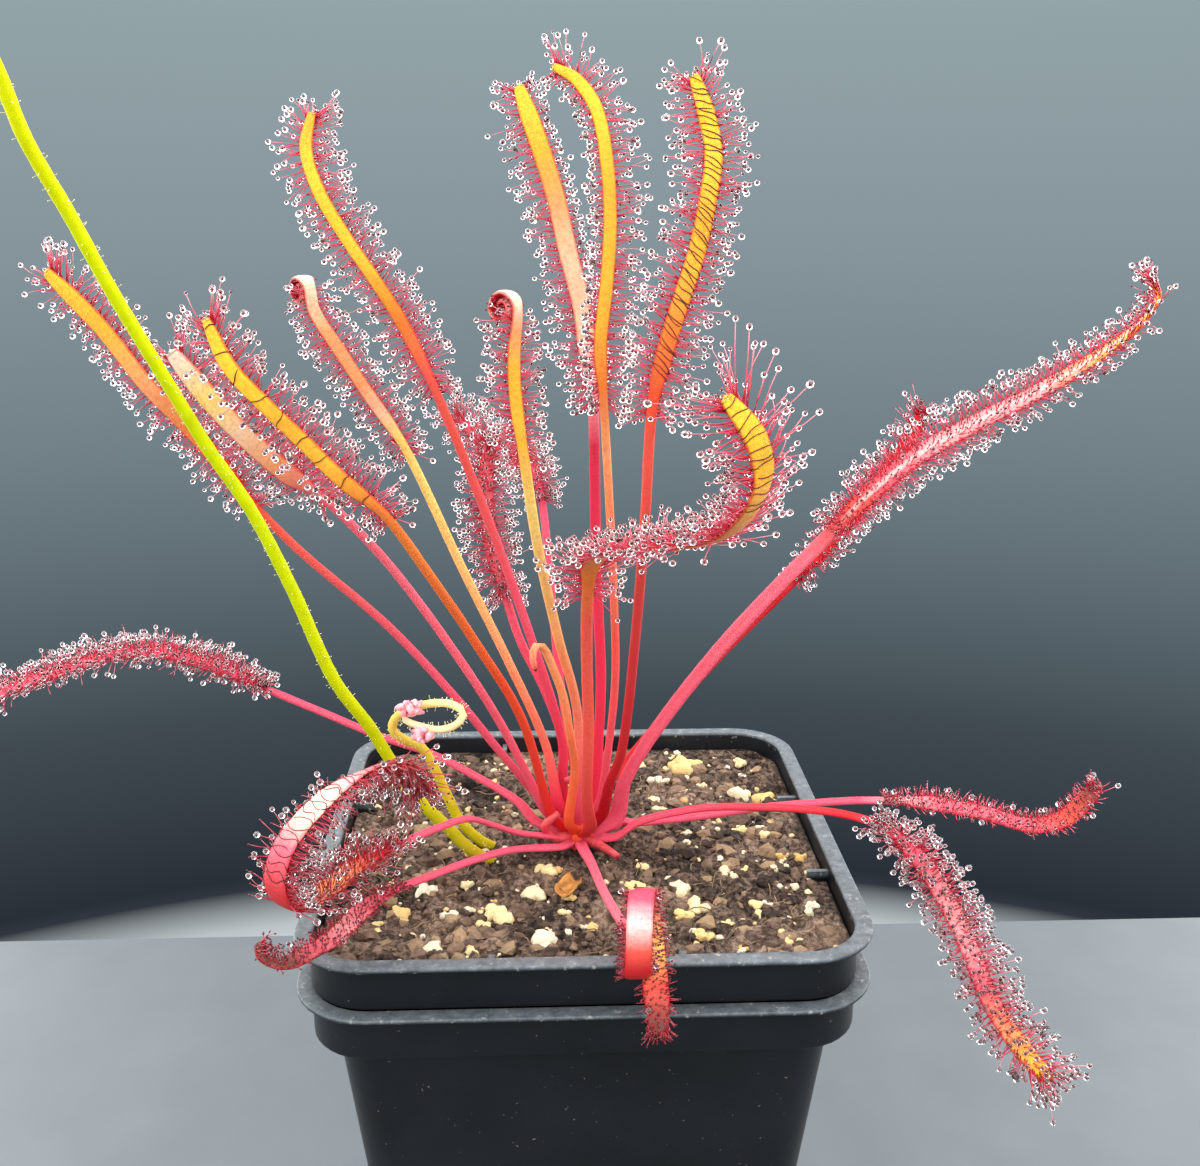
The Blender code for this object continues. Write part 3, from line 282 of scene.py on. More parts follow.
LEAVES = [
    Leaf("leaf_far_left", 163, 46,
         [(-13, 0.5, 13), (-22, 1, 25), (-33, 1, 38), (-47, 1.5, 51), (-55, 2.5, 59.5)],
         [(-63, 3.5, 70), (-71, 4, 79), (-78, 6, 88), (-86.5, 7.7, 96.8)],
         [(0.3, 1, 0.2)], blade_width=0.88, slot="leaf_red", petiole_colours=(HOT_PINK, HOT_PINK, CORAL),
         under=(RED_ORANGE, ORANGE, PEACH, GOLD, YELLOW)),
    Leaf("leaf_left_back", 192, 44,
         [(-14, -1.5, 21), (-22.5, -2.5, 36), (-32.5, -3.5, 51), (-42, -5, 62)],
         [(-47, -6, 66), (-54, -6.5, 73), (-59, -6.5, 79), (-63.5, -7, 85.5)],
         [(0.3, 1, 0.2)], petiole_colours=(HOT_PINK, PINK),
         under=(PINK, PEACH, PALE_PEACH, PALE_YELLOW, CREAM), blade_width=1.1),
    Leaf("leaf_left_front", 217, 45,
         [(-10, -9, 24.5), (-17.5, -15.5, 41), (-23.5, -21, 53), (-29.5, -25, 63.5)],
         [(-35.5, -25.5, 69), (-41, -24.5, 74.5), (-46, -24, 79.5), (-51, -23, 85), (-54, -22, 91.5)],
         [(0.2, 1, 0.2)], slot="leaf_orange", petiole_colours=(RED, RED_ORANGE, ORANGE),
         under=(ORANGE, GOLD, GOLD, YELLOW, YELLOW), wraps=9, blade_width=0.7),
    Leaf("leaf_coiled_left", 196, 27,
         [(-6, 4.5, 14), (-12.5, 7, 29), (-20.5, 9, 46), (-30, 11.5, 67)],
         [(-35.8, 12, 76), (-41, 12.8, 84.2), (-44.6, 13.6, 90), (-45.3, 14.2, 93.8)],
         [(0, 1, 0.1), (-0.1, 1, 0), (-0.6, 0.8, 0)], blade_width=0.6, curl_turns=1.55, reach=0.8,
         slot="leaf_yellow", petiole_colours=(DEEP_PINK, PEACH, PALE_YELLOW),
         under=(PALE_YELLOW, PALE_PEACH, PEACH, PEACH, PEACH, PALE_PEACH, CREAM, CREAM, PALE_PINK),
         upper=(RED, DEEP_RED)),
    Leaf("leaf_high_left", 142, 26,
         [(-3, 4, 15), (-9, 3.5, 36.5), (-16.5, 3, 59), (-24, 2, 79)],
         [(-28.5, 3, 88.5), (-33, 3, 96), (-37.5, 4.5, 102.5), (-41.5, 5.5, 109.5), (-43.5, 7.5, 116),
          (-42.5, 9, 121.5)],
         [(0.2, 1, 0.1)], blade_width=0.6, slot="leaf_red", petiole_colours=(DEEP_PINK, HOT_PINK, CORAL),
         under=(CORAL, ORANGE, GOLD, YELLOW, YELLOW, GOLD)),
    Leaf("leaf_back_left", 115, 50,
         [(-3, 9, 13), (-6, 12, 21.5), (-10.5, 14.5, 30.5), (-13.5, 17.5, 39.5)],
         [(-15.5, 19.5, 46.5), (-16.5, 22, 55.5), (-16.5, 24, 61.5), (-16, 25, 66)],
         [(0, -1, 0.2)], blade_width=0.75, upper=(PINK, PINK), face=1.5),
    Leaf("leaf_back_centre", 88, 26,
         [(-1.5, 11, 12), (-3.5, 19.5, 24), (-5, 31.5, 40), (-6.5, 41.5, 52)],
         [(-8.5, 46, 56.5), (-14, 51, 59), (-19.5, 55, 61.5), (-24.5, 59.5, 65.5)],
         [(0.3, -1, 0.2)], blade_width=0.75, upper=(HOT_PINK, HOT_PINK), face=1.5),
    Leaf("leaf_coiled_centre", 262, 22,
         [(-0.5, -4.5, 23.5), (-4, -12, 40.5), (-7, -17.5, 56.5), (-9, -22, 72)],
         [(-10, -22, 80), (-10.2, -22, 86.5), (-9.6, -21.9, 92.8)],
         [(0, 1, 0), (0, 1, 0), (-0.75, 0.65, 0)], blade_width=0.52, curl_turns=1.55, reach=0.85,
         slot="leaf_yellow", petiole_colours=(HOT_PINK, PEACH, PALE_YELLOW),
         under=(GOLD, GOLD, GOLD, PEACH, CREAM, CREAM, PALE_PINK), upper=(RED, DEEP_RED)),
    Leaf("leaf_young_hook", 250, 44,
         [(-1, -7, 14.5), (-2, -10, 22.5), (-3, -11, 29), (-5, -12.5, 35.5), (-6.3, -13, 38.5),
          (-7.5, -14.5, 39.3), (-8, -16.3, 38), (-7.5, -17, 36)],
         petiole_width=0.9, slot="leaf_orange", petiole_colours=(RED_ORANGE, PEACH)),
    Leaf("leaf_loop_left", 42, 25,
         [(3.4, 4.5, 12), (4, 5.5, 26), (3.5, 6, 38.5), (3, 7, 53.5), (2.5, 7.5, 76)],
         [(1.5, 9, 85), (0.5, 10, 92), (-1.5, 11, 99.5), (-3.5, 14, 108.5), (-6, 16, 116.5),
          (-9.7, 20, 126.8)],
         [(0, 1, 0)], petiole_width=1.15, petiole_colours=(DEEP_PINK, DEEP_PINK),
         under=(PALE_PINK, PALE_PEACH, PALE_PEACH, PEACH, GOLD, YELLOW),
         blade_width=0.85, side_reach=(0.95, 0.42)),
    Leaf("leaf_loop_right", 352, 26,
         [(4.5, -0.5, 10), (6, -3.5, 29), (5.5, -5.5, 46), (4.5, -8, 62.5), (3.5, -9, 78)],
         [(3, -8.5, 86.5), (4, -7.5, 96.5), (4.5, -6, 105.5), (4, -4.5, 114), (2.5, -2.5, 121.5),
          (-0.5, 0, 126), (-4, 1.5, 128)],
         [(0, 1, 0)], blade_width=0.56, petiole_width=0.85, slot="leaf_orange", side_reach=(0.48, 1.05),
         petiole_colours=(HOT_PINK, CORAL, PEACH),
         under=(ORANGE, GOLD, GOLD, GOLD, YELLOW, YELLOW)),
    Leaf("leaf_front_centre", 285, 50,
         [(1, -9.5, 9.5), (1, -15, 24.5), (0.5, -20.5, 41), (0.5, -24.5, 51.5)],
         [(1, -28, 56.5), (3.5, -33, 59.5), (8.5, -40, 61.5), (13, -46.5, 64), (17, -53, 67),
          (19.5, -57.5, 71.5), (20.5, -59, 76), (19, -60, 81), (15.5, -59.5, 85.5)],
         [(0, 0.3, 1), (0, 0, 1), (0, 0, 1), (-0.4, 0.4, 0.8), (-0.5, 0.9, 0.1)], petiole_width=1.15,
         slot="leaf_orange", petiole_colours=(CRIMSON, CORAL, CORAL),
         under=(ORANGE, PEACH, PEACH, ORANGE, PEACH, GOLD, YELLOW),
         upper=(PALE_PEACH, PALE_PEACH, PALE_PINK, PALE_PINK), blade_width=0.85, face=1.15, reach=1.25,
         # Its wraps near the tip are dark strips of painted shade between ridges across the blade.
         side_reach=(1.0, 1.25), wraps=13, wraps_from=0.74, wraps_slant=(-0.3, 0.5)),
    Leaf("leaf_high_right", 318, 38,
         [(5, -5.5, 10.5), (7, -8.5, 18.5), (8.5, -14, 39), (9.5, -19, 61.5), (10, -23, 79)],
         [(12, -23, 88), (14, -22.5, 94.5), (16, -21.5, 100.5), (17.5, -21, 107.5), (18.5, -19, 114.5),
          (17.5, -17.5, 120), (15.8, -15.8, 125.3)],
         [(0.1, 1, 0)], slot="leaf_red", petiole_colours=(DEEP_RED, CRIMSON, CORAL),
         under=(RED_ORANGE, ORANGE, GOLD, GOLD, YELLOW, YELLOW), wraps=46,
         wraps_slant=(-1.6, -0.6), blade_width=0.7),
    Leaf("leaf_long_right", 345, 52,
         [(8, -2.5, 10), (13.5, -5.5, 21.5), (23, -10, 37), (32.5, -13, 49.5), (40, -14, 58)],
         [(45.5, -14, 64), (53.5, -12.5, 70), (63.5, -10.5, 75), (73, -8.5, 79.2), (83.5, -6.5, 85),
          (89.5, -5.5, 89.5), (92.5, -4.5, 93.5), (92, -3.5, 97)],
         [(-0.3, -0.8, 0.5), (-0.3, -0.7, 0.6), (-0.4, -0.5, 0.8), (-0.9, 0.4, 0.3)], petiole_width=1.5,
         petiole_colours=(HOT_PINK, PINK), under=(PINK, PALE_PINK, PEACH, YELLOW),
         upper=(CORAL, PINK, PALE_PINK, PALE_PINK, PALE_PINK, PEACH, GOLD, YELLOW), midrib_highlight=0.9,
         blade_width=0.85, reach=0.78, face=1.25, inner_dew=0.2, bare=1.5),
    Leaf("leaf_back_right", 62, 55,
         [(13.5, 12.5, 12.5), (27.5, 19.5, 25.5), (43.5, 27, 39)],
         [(55.5, 32, 51), (63, 35.5, 60), (67.5, 38, 66.5), (69, 38.5, 70)],
         [(-0.3, -0.8, 0.5)], blade_width=0.8, petiole_colours=(CRIMSON, DEEP_RED), upper=(RED, RED),
         face=1.4, dew=0.4, reach=0.7),
    Leaf("leaf_low_left", 177, 66,
         [(-11, 3, 3.5), (-19.5, 4.5, 8.5), (-27, 6, 12), (-36, 6, 15.5), (-46.5, 6, 20.5), (-57, 6, 25.5)],
         [(-64, 6, 29), (-73.5, 5.5, 32), (-81.5, 4, 32), (-89.5, 1.5, 30), (-98, -2, 27.5),
          (-104.5, -6, 23)],
         [(0, -0.3, 1)], blade_width=0.85, petiole_colours=(HOT_PINK, HOT_PINK),
         under=(PINK, PALE_PINK), upper=(HOT_PINK, PINK), dew=0.65, reach=0.72, face=1.8),
    Leaf("leaf_rolled_left", 222, 66,
         [(-11, -8, 3), (-15, -10, 5.5), (-19, -12.5, 8), (-24, -19, 9.5), (-29, -25, 10)],
         [(-34, -32, 10.5), (-38, -39, 10.5), (-41, -45, 11), (-43, -49, 13.5), (-43.5, -50, 18),
          (-42, -48.5, 22.5), (-38, -45, 26.5), (-34, -41, 28.5), (-30, -37, 28.5), (-26.5, -34, 26),
          (-24.5, -33, 22)],
         across=((0.76, -0.64, 0), (0.76, -0.64, 0), (0.76, -0.64, 0.1), (0.5, 0.1, 0.8)), reach=0.88,
         slot="leaf_red", petiole_colours=(HOT_PINK, HOT_PINK),
         under=(RED, RED, DEEP_RED, CRIMSON, CRIMSON, PINK, CREAM, PALE_PINK, CRIMSON, RED),
         upper=(RED, PEACH, PINK, RED, RED_ORANGE, WITHERED), dew=0.5, curled=0.22, face=1.6, aged=True,
         wraps=30, wraps_from=0.48, wraps_slant=(-0.7, 0.5), blade_width=1.15, bare=2.5),
    Leaf("leaf_rim_left", 246, 73,
         [(-12, -12.5, 2), (-18.5, -18, 3), (-24.5, -24.5, 4), (-29.5, -30.5, 5)],
         [(-33.5, -35.5, 5), (-37, -42, 4), (-40, -46, 4), (-43, -49, 4), (-45.5, -50.5, 5.5),
          (-46.5, -50.5, 8)],
         [(0, 0, 1)], blade_width=0.95, reach=0.33, petiole_colours=(HOT_PINK, HOT_PINK),
         under=(PINK, PINK, WITHERED, WITHERED),
         upper=(HOT_PINK, PINK, PALE_PINK, PINK, WITHERED, WITHERED), dew=0.02, curled=0.5, face=1.3,
         aged=True),
    Leaf("leaf_rolled_front", 272, 72,
         [(1.5, -14, 0.2), (3, -24, 0.8), (4.5, -31, 1)],
         [(5.9, -37, 1.4), (6.9, -42, 1.8), (7, -46.5, 1.6), (6.8, -50, 1.5), (6.6, -52.8, 3.5),
          (6.6, -54, 7.5), (6.8, -52.5, 11.5), (7.3, -49, 13.8), (7.8, -46, 12.5), (8.4, -45, 9),
          (9, -46.5, 5), (9.3, -49, 2), (9.4, -51.5, -0.5), (9.6, -53, -3), (9.6, -54, -6.3)],
         across=((1, 0.1, 0), (1, 0, 0)), blade_width=0.98, reach=0.3, slot="leaf_red", bare=8.0,
         petiole_colours=(HOT_PINK, PINK),
         under=(RED, RED, RED, CRIMSON, RED, CORAL, BLUSH, HOT_PINK, DEEP_PINK, DEEP_PINK, DEEP_PINK, RED,
                RED, RED, RED),
         upper=(PINK, RED, RED, RED, RED, CORAL, PEACH, PALE_YELLOW, CORAL, WITHERED), dew=0.03, curled=0.3,
         face=1.7, aged=True),
    Leaf("leaf_hanging_right", 322, 70,
         [(10.5, -6.5, 4), (20.5, -10, 8), (29.5, -16, 11), (35.5, -20, 12.5), (42, -25.5, 14)],
         [(47, -30.5, 14), (51, -36.5, 11.5), (54, -42, 7), (56, -46.5, 2.5), (58, -51, -3),
          (61, -55, -7.5), (65, -58.5, -11.5)],
         [(0, -0.3, 1), (0.2, -0.7, 0.7), (0.3, -0.9, 0.4)], petiole_colours=(HOT_PINK, RED),
         under=(PINK, PALE_PINK), upper=(HOT_PINK, PINK, PALE_PINK, PALE_PINK, PINK, PEACH, YELLOW),
         blade_width=0.85, reach=0.78, face=1.7, bare=7.0),
    Leaf("leaf_low_right", 5, 70,
         [(10.5, -2, 1.5), (21, -4, 3.5), (31.5, -6, 6), (41.5, -7.5, 7.5), (50, -9, 8.5)],
         [(60, -10.5, 8.5), (69.5, -11.5, 7), (77.5, -12.5, 5), (83, -12.5, 6), (87, -11.5, 9),
          (89.5, -11, 12)],
         [(0, -0.3, 1)], blade_width=0.95, reach=0.4, petiole_colours=(HOT_PINK, HOT_PINK),
         under=(PINK, PINK), upper=(PALE_PINK, PINK, PINK, PINK, CORAL, WITHERED), dew=0.16, curled=0.45,
         face=1.5, bare=4.0),
]

# Flower stems
TALL_STEM_ROUTE = [
    (-6.1, -0.8, -5.2), (-10, -2.6, -5.4), (-15, -4.8, -4.4), (-19.5, -6.4, -0.8), (-23, -7, 3.5),
    (-26.5, -8, 8),
    (-32, -9, 17), (-35, -11, 24), (-40, -14.5, 34), (-45, -18.5, 50.5), (-49.5, -22, 63.5),
    (-54.2, -25.5, 73.5), (-58.6, -31, 85.5), (-62.5, -36, 96.5), (-65.3, -40.5, 106), (-67.9, -45, 114.5),
    (-69, -48, 121.5), (-71, -52, 131), (-72.5, -56, 140), (-72, -59, 147), (-69.5, -60.5, 151.5),
    (-66, -61, 152.5), (-63, -61, 150), (-62, -60.5, 146),
]
TALL_STEM_RADII = (1.1, 0.85)
TALL_STEM_BUDS = 9
TALL_STEM_BUD_LENGTH = 22.0
TALL_STEM_HAIRS = 360
YOUNG_STEM_ROUTE = [
    (-5.8, 3.7, -5.2), (-9.5, 3.4, -5.5), (-14.5, 1.5, -4.9), (-18.2, -0.5, -2), (-21.5, -1.5, 2.5),
    (-23.5, -2, 7.5), (-25.5, -2.5, 13), (-27.5, -3, 17), (-30, -4.5, 19), (-32, -6, 21.5),
    (-31, -7, 24.5), (-26.5, -8.5, 27), (-22, -10.5, 28), (-19.5, -12, 27), (-20.5, -12.5, 25.2),
    (-23.5, -12, 24), (-27, -11.6, 24.6), (-29.4, -11, 25.6), (-29, -10.4, 27.6),
]
YOUNG_STEM_RADII = (1.05, 0.55)
YOUNG_BUD_CLUSTERS = [(-28.3, -11, 27.6), (-26.4, -12.2, 23.2)]
YOUNG_CLUSTER_BUDS = 14
YOUNG_CLUSTER_REACH = (2.2, 1.0, 1.6)
YOUNG_CLUSTER_FILL = 0.65
YOUNG_BUD_SIZES = (0.42, 0.58)
YOUNG_STEM_HAIRS = 260
STEM_SIDES = 14
STEM_RING_GAP = 1.2
STEM_UNEVENNESS = 0.03
HAIR_LENGTHS = (0.3, 0.65)
HAIR_RADII = (0.05, 0.035, 0.03)
HAIR_HEAD_RADIUS = 0.08
HAIRS_FROM = 8.0
BUD_HALF_LENGTH = 2.1
BUD_HALF_WIDTH = 1.1
BUD_SIDES = 15
BUD_PROFILE = (
    (-0.1, 0.3), (0.25, 0.55), (0.6, 0.88), (1.0, 1.05), (1.4, 0.98), (1.75, 0.72), (2.0, 0.38),
    (2.12, 0.1),
)

# Camera, fitted to the photo from the two square flanges
PHOTO_WIDTH = 1200
FOCAL_PIXELS = 1290.98
SENSOR_WIDTH = 36.0
CAMERA_PLACE = (-6.354, -211.649, 106.511)
CAMERA_YAW = 0.0464825
CAMERA_PITCH = 0.280009
CAMERA_ROLL = 0.00482965

# Floor, in metres
FLOOR_HALF = 0.34
FLOOR_BACK = 0.137
FLOOR_BELOW_POT = 0.0002

# Light panels: azimuth, elevation, distance, width, height and radiance, in degrees and metres
LIT_POINT = (0.0, 0.0, 0.15)
PANELS = {
    "back_left_panel": (-58, 5, 0.9, 1.0, 1.3, 2.6),
    "back_right_panel": (62, 5, 0.9, 1.0, 1.3, 2.6),
    "front_left_panel": (-125, 20, 0.9, 0.9, 1.0, 1.9),
    "front_right_panel": (130, 20, 0.9, 0.9, 1.0, 1.6),
    "front_panel": (180, 30, 0.9, 0.8, 0.7, 2.0),
    "back_top_panel": (0, 42, 0.9, 1.2, 0.6, 2.1),
    "top_panel": (0, 90, 0.8, 1.1, 1.1, 1.8),
}

# Surroundings: height from 0 at the bottom to 1 at the top, and colour
SURROUNDINGS = [
    (0.0, srgb(205, 210, 213)), (0.2, srgb(190, 196, 199)), (0.248, srgb(198, 206, 209)),
    (0.262, srgb(44, 49, 57)), (0.321, srgb(68, 77, 84)), (0.413, srgb(112, 127, 134)),
    (0.49, srgb(134, 148, 155)), (0.57, srgb(146, 163, 168)), (0.66, srgb(185, 200, 205)),
    (0.78, srgb(250, 252, 255)), (1.0, srgb(255, 255, 255)),
]


def unit(vectors):
    """Vectors scaled to length 1."""
    return vectors / np.maximum(np.linalg.norm(vectors, axis=-1, keepdims=True), 1e-9)


def smooth_step(share):
    """Ease from 0 to 1."""
    share = np.clip(share, 0.0, 1.0)
    return share * share * (3 - 2 * share)


def make_piece(name, points, faces, material, smooth=True):
    """A piece of the root body from points in millimetres and groups of faces with equal corner counts."""
    world = (np.asarray(points, float) + (0, 0, RIM_Z)) * MM
    groups = [np.asarray(group, np.int32) for group in faces if len(group)]
    corners = np.concatenate([group.ravel() for group in groups])
    counts = np.concatenate([np.full(len(group), group.shape[1]) for group in groups])
    starts = np.concatenate([[0], np.cumsum(counts)[:-1]])
    mesh = bpy.data.meshes.new(name)
    mesh.vertices.add(len(world))
    mesh.vertices.foreach_set("co", world.astype(np.float32).ravel())
    mesh.loops.add(len(corners))
    mesh.loops.foreach_set("vertex_index", corners)
    mesh.polygons.add(len(counts))
    mesh.polygons.foreach_set("loop_start", starts.astype(np.int32))
    mesh.polygons.foreach_set("use_smooth", np.full(len(counts), smooth))
    mesh.update(calc_edges=True)
    mesh.validate()
    mesh.materials.append(material)
    piece = bpy.data.objects.new(name, mesh)
    bpy.context.scene.collection.objects.link(piece)
    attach(piece, "root")
    return piece


def add_values(piece, name, values):
    """Store one number per point on a piece, for its material."""
    attribute = piece.data.attributes.new(name, "FLOAT", "POINT")
    attribute.data.foreach_set("value", np.asarray(values, np.float32).ravel())


def tube_faces(rings, sides):
    """Quads between neighbouring rings of points."""
    starts = np.arange(rings - 1)[:, None] * sides
    low = starts + np.arange(sides)
    following = starts + (np.arange(sides) + 1) % sides
    return np.stack([low, following, following + sides, low + sides], axis=-1).reshape(-1, 4)


def cap_faces(sides, last_start):
    """The two end caps of a tube as single faces, from the number of the last ring's first point."""
    return np.stack([np.arange(sides)[::-1], last_start + np.arange(sides)])


def closed_tube(rings):
    """Points and faces of a closed tube from its rings."""
    count, sides = rings.shape[:2]
    return rings.reshape(-1, 3), [tube_faces(count, sides), cap_faces(sides, (count - 1) * sides)]


def merged(parts):
    """Several parts' points and faces put into one."""
    points, faces, first = [], [], 0
    for part_points, part_faces in parts:
        points.append(part_points)
        faces += [np.asarray(group) + first for group in part_faces]
        first += len(part_points)
    return np.vstack(points), faces


def template_of(mesh):
    """Points and triangles, in a fixed order, of a small shape that is copied many times."""
    bmesh.ops.triangulate(mesh, faces=mesh.faces)
    points = np.array([vertex.co for vertex in mesh.verts])
    faces = np.array(sorted([vertex.index for vertex in face.verts] for face in mesh.faces))
    mesh.free()
    return points, faces


def ball(subdivisions):
    """A unit ball with even triangles."""
    mesh = bmesh.new()
    bmesh.ops.create_icosphere(mesh, subdivisions=subdivisions, radius=1.0)
    return template_of(mesh)


def banded_ball(segments, bands):
    """A unit ball with few triangles, in bands round its upright axis."""
    mesh = bmesh.new()
    bmesh.ops.create_uvsphere(mesh, u_segments=segments, v_segments=bands, radius=1.0)
    return template_of(mesh)


BALL_ROUGH = ball(1)
BALL_FINE = ball(2)
GLAND = banded_ball(4, 2)
DROP = banded_ball(8, 4)
INNER_DROP = banded_ball(6, 4)


def copies(template, places):
    """A template's points and faces repeated: places is an array of ready-placed copies of its points."""
    points, faces = template
    count = len(places)
    offsets = np.arange(count)[:, None, None] * len(points)
    return places.reshape(-1, 3), (faces[None, :, :] + offsets).reshape(-1, 3)


def side_frame(directions):
    """Two vectors square to each direction and to each other."""
    helper = np.where(np.abs(directions[..., 2:3]) < 0.9, (0.0, 0.0, 1.0), (1.0, 0.0, 0.0))
    first = unit(np.cross(directions, helper))
    return first, np.cross(directions, first)


class Route:
    """Smooth curve through chosen points, sampled finely by length."""

    STEP = 0.25

    def __init__(self, points):
        points = np.array(points, float)
        before = np.vstack([points[:1], points[:-1]])
        after = np.vstack([points[1:], points[-1:]])
        span = np.linalg.norm(after - points, axis=1) + np.linalg.norm(points - before, axis=1)
        slopes = (after - before) / span[:, None]
        samples = [points[:1]]
        knots = [0]
        for start, end, slope_in, slope_out in zip(points, points[1:], slopes, slopes[1:]):
            chord = np.linalg.norm(end - start)
            pieces = max(2, round(chord / self.STEP))
            t = (np.arange(pieces) + 1)[:, None] / pieces
            samples.append(start * (2 * t**3 - 3 * t**2 + 1) + end * (3 * t**2 - 2 * t**3)
                           + (slope_in * (t**3 - 2 * t**2 + t) + slope_out * (t**3 - t**2)) * chord)
            knots.append(knots[-1] + pieces)
        self.points = np.vstack(samples)
        steps = np.linalg.norm(np.diff(self.points, axis=0), axis=1)
        self.distance = np.concatenate([[0.0], np.cumsum(steps)])
        self.length = self.distance[-1]
        self.knots = self.distance[knots]

    def at(self, distance):
        """Points at distances along the curve."""
        return np.stack([np.interp(distance, self.distance, self.points[:, axis]) for axis in range(3)], -1)

    def tangent(self, distance):
        """Directions of the curve at distances along it."""
        reach = 0.6
        return unit(self.at(distance + reach) - self.at(distance - reach))


def between(vectors, share):
    """Directions at shares of the way along evenly spaced directions."""
    vectors = np.array(vectors, float)
    if len(vectors) == 1:
        return np.broadcast_to(vectors[0], (len(share), 3))
    places = np.linspace(0.0, 1.0, len(vectors))
    return np.stack([np.interp(share, places, vectors[:, axis]) for axis in range(3)], -1)


class LeafShape:
    """Midline, widths and directions of one leaf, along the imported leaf's midline but finer in width."""

    def __init__(self, leaf):
        self.leaf = leaf
        azimuth, lean = math.radians(leaf.azimuth), math.radians(leaf.lean)
        outward = np.array((math.sin(lean) * math.cos(azimuth), math.sin(lean) * math.sin(azimuth),
                            math.cos(lean)))
        base = CROWN + outward * (CROWN_RADIUS + CAD_GAP)
        route = [CROWN + outward * START_IN_CROWN, base, base + outward * BASE_RUN, *leaf.petiole,
                 *leaf.blade]
        if leaf.curl_turns:
            forward = unit(np.subtract(route[-1], route[-2]))
            inward = np.array(leaf.upper_side[-1], float)
            inward = unit(inward - forward * inward.dot(forward))
            centre = np.array(route[-1]) + inward * CURL_RADIUS
            for step in range(1, CURL_STEPS + 1):
                angle = 2 * math.pi * leaf.curl_turns * step / CURL_STEPS
                radius = CURL_RADIUS * (1 - CURL_TIGHTENING * step / CURL_STEPS)
                route.append(centre + (forward * math.sin(angle) - inward * math.cos(angle)) * radius)
        self.route = Route(route)
        self.length = self.route.length
        self.blade_start = self.route.knots[2 + len(leaf.petiole)] if leaf.blade else self.length
        self.blade_start += leaf.bare
        self.curl_start = self.route.knots[2 + len(leaf.petiole) + len(leaf.blade)]

    def directions(self, distance):
        """Tangents, directions across the leaf and directions of its upper side."""
        leaf = self.leaf
        tangent = self.route.tangent(distance)
        seen_at = np.minimum(distance, self.curl_start)
        share = (seen_at - self.blade_start) / max(self.curl_start - self.blade_start, 1.0)
        if leaf.across:
            across = between(leaf.across, share)
        elif leaf.upper_side:
            across = np.cross(between(leaf.upper_side, share), self.route.tangent(seen_at))
        else:
            across = np.broadcast_to((1.0, 0.0, 0.0), tangent.shape)
        across = unit(across - tangent * np.sum(across * tangent, axis=-1, keepdims=True))
        return tangent, across, np.cross(tangent, across)

    def half_width(self, distance):
        """Half the leaf's width, petiole and blade."""
        petiole = PETIOLE_HALF_WIDTH * self.leaf.petiole_width
        blade = BLADE_HALF_WIDTH * self.leaf.blade_width if self.leaf.blade else petiole
        width = petiole + (blade - petiole) * smooth_step((distance - self.blade_start) / BLADE_WIDENING)
        width = width * (1 + FOOT_WIDENING * (1 - smooth_step((distance - FOOT_END) / FOOT_NARROWING)))
        if self.leaf.curl_turns:
            in_curl = smooth_step((distance - self.curl_start) / CURL_WIDENS_OVER)
            width = width * (1 + CURL_WIDENING * in_curl)
        to_tip = np.clip((self.length - distance) / BLADE_NARROWING, 0.0, 1.0)
        return width * (BLADE_TIP_SHARE + (1 - BLADE_TIP_SHARE) * np.sqrt(to_tip))

    def section(self, distance, x, side):
        """Height of the leaf's surface over its middle plane: x across from -1 to 1, side from -1 to 1."""
        blade = smooth_step((distance - self.blade_start) / BLADE_WIDENING)
        groove = np.exp(-((x / GROOVE_HALF_WIDTH) ** 2)) * np.clip(side, 0, 1)
        petiole_height = PETIOLE_HALF_THICKNESS * side - PETIOLE_GROOVE * groove
        half = BLADE_HALF_THICKNESS
        if self.leaf.curl_turns:
            rolled = smooth_step((distance - self.curl_start) / CURL_THICKENS_OVER)
            half = half + (ROLLED_HALF_THICKNESS - BLADE_HALF_THICKNESS) * rolled
        blade_height = half * np.sign(side) * np.abs(side) ** BLADE_EDGE_POWER - BLADE_GROOVE * groove
        return petiole_height + (blade_height - petiole_height) * blade

    def surface(self, distance, angle):
        """Points on the leaf at distances along it and angles round it."""
        _, across, up = self.directions(distance)
        x, side = np.cos(angle), np.sin(angle)
        return (self.route.at(distance) + across * (self.half_width(distance) * x)[..., None]
                + up * self.section(distance, x, side)[..., None])


class Nodes:
    """A node tree, with short ways to add to it."""

    def __init__(self, tree):
        self.tree = tree

    def add(self, kind, inputs=None, **settings):
        """Add a node with its settings and inputs, which are values or other nodes' outputs."""
        node = self.tree.nodes.new("ShaderNode" + kind)
        for setting, value in settings.items():
            setattr(node, setting, value)
        for socket, value in (inputs or {}).items():
            self.put(node.inputs[socket], value)
        return node

    def put(self, socket, value):
        """Give a socket a value, or link it."""
        if isinstance(value, bpy.types.NodeSocket):
            self.tree.links.new(value, socket)
        else:
            socket.default_value = value

    def ramp(self, value, stops):
        """A colour from a value, through stops of position and colour."""
        node = self.add("ValToRGB", {"Fac": value})
        elements = node.color_ramp.elements
        elements[0].position, elements[0].color = stops[0]
        elements[1].position, elements[1].color = stops[-1]
        for position, colour in stops[1:-1]:
            elements.new(position).color = colour
        return node.outputs["Color"]


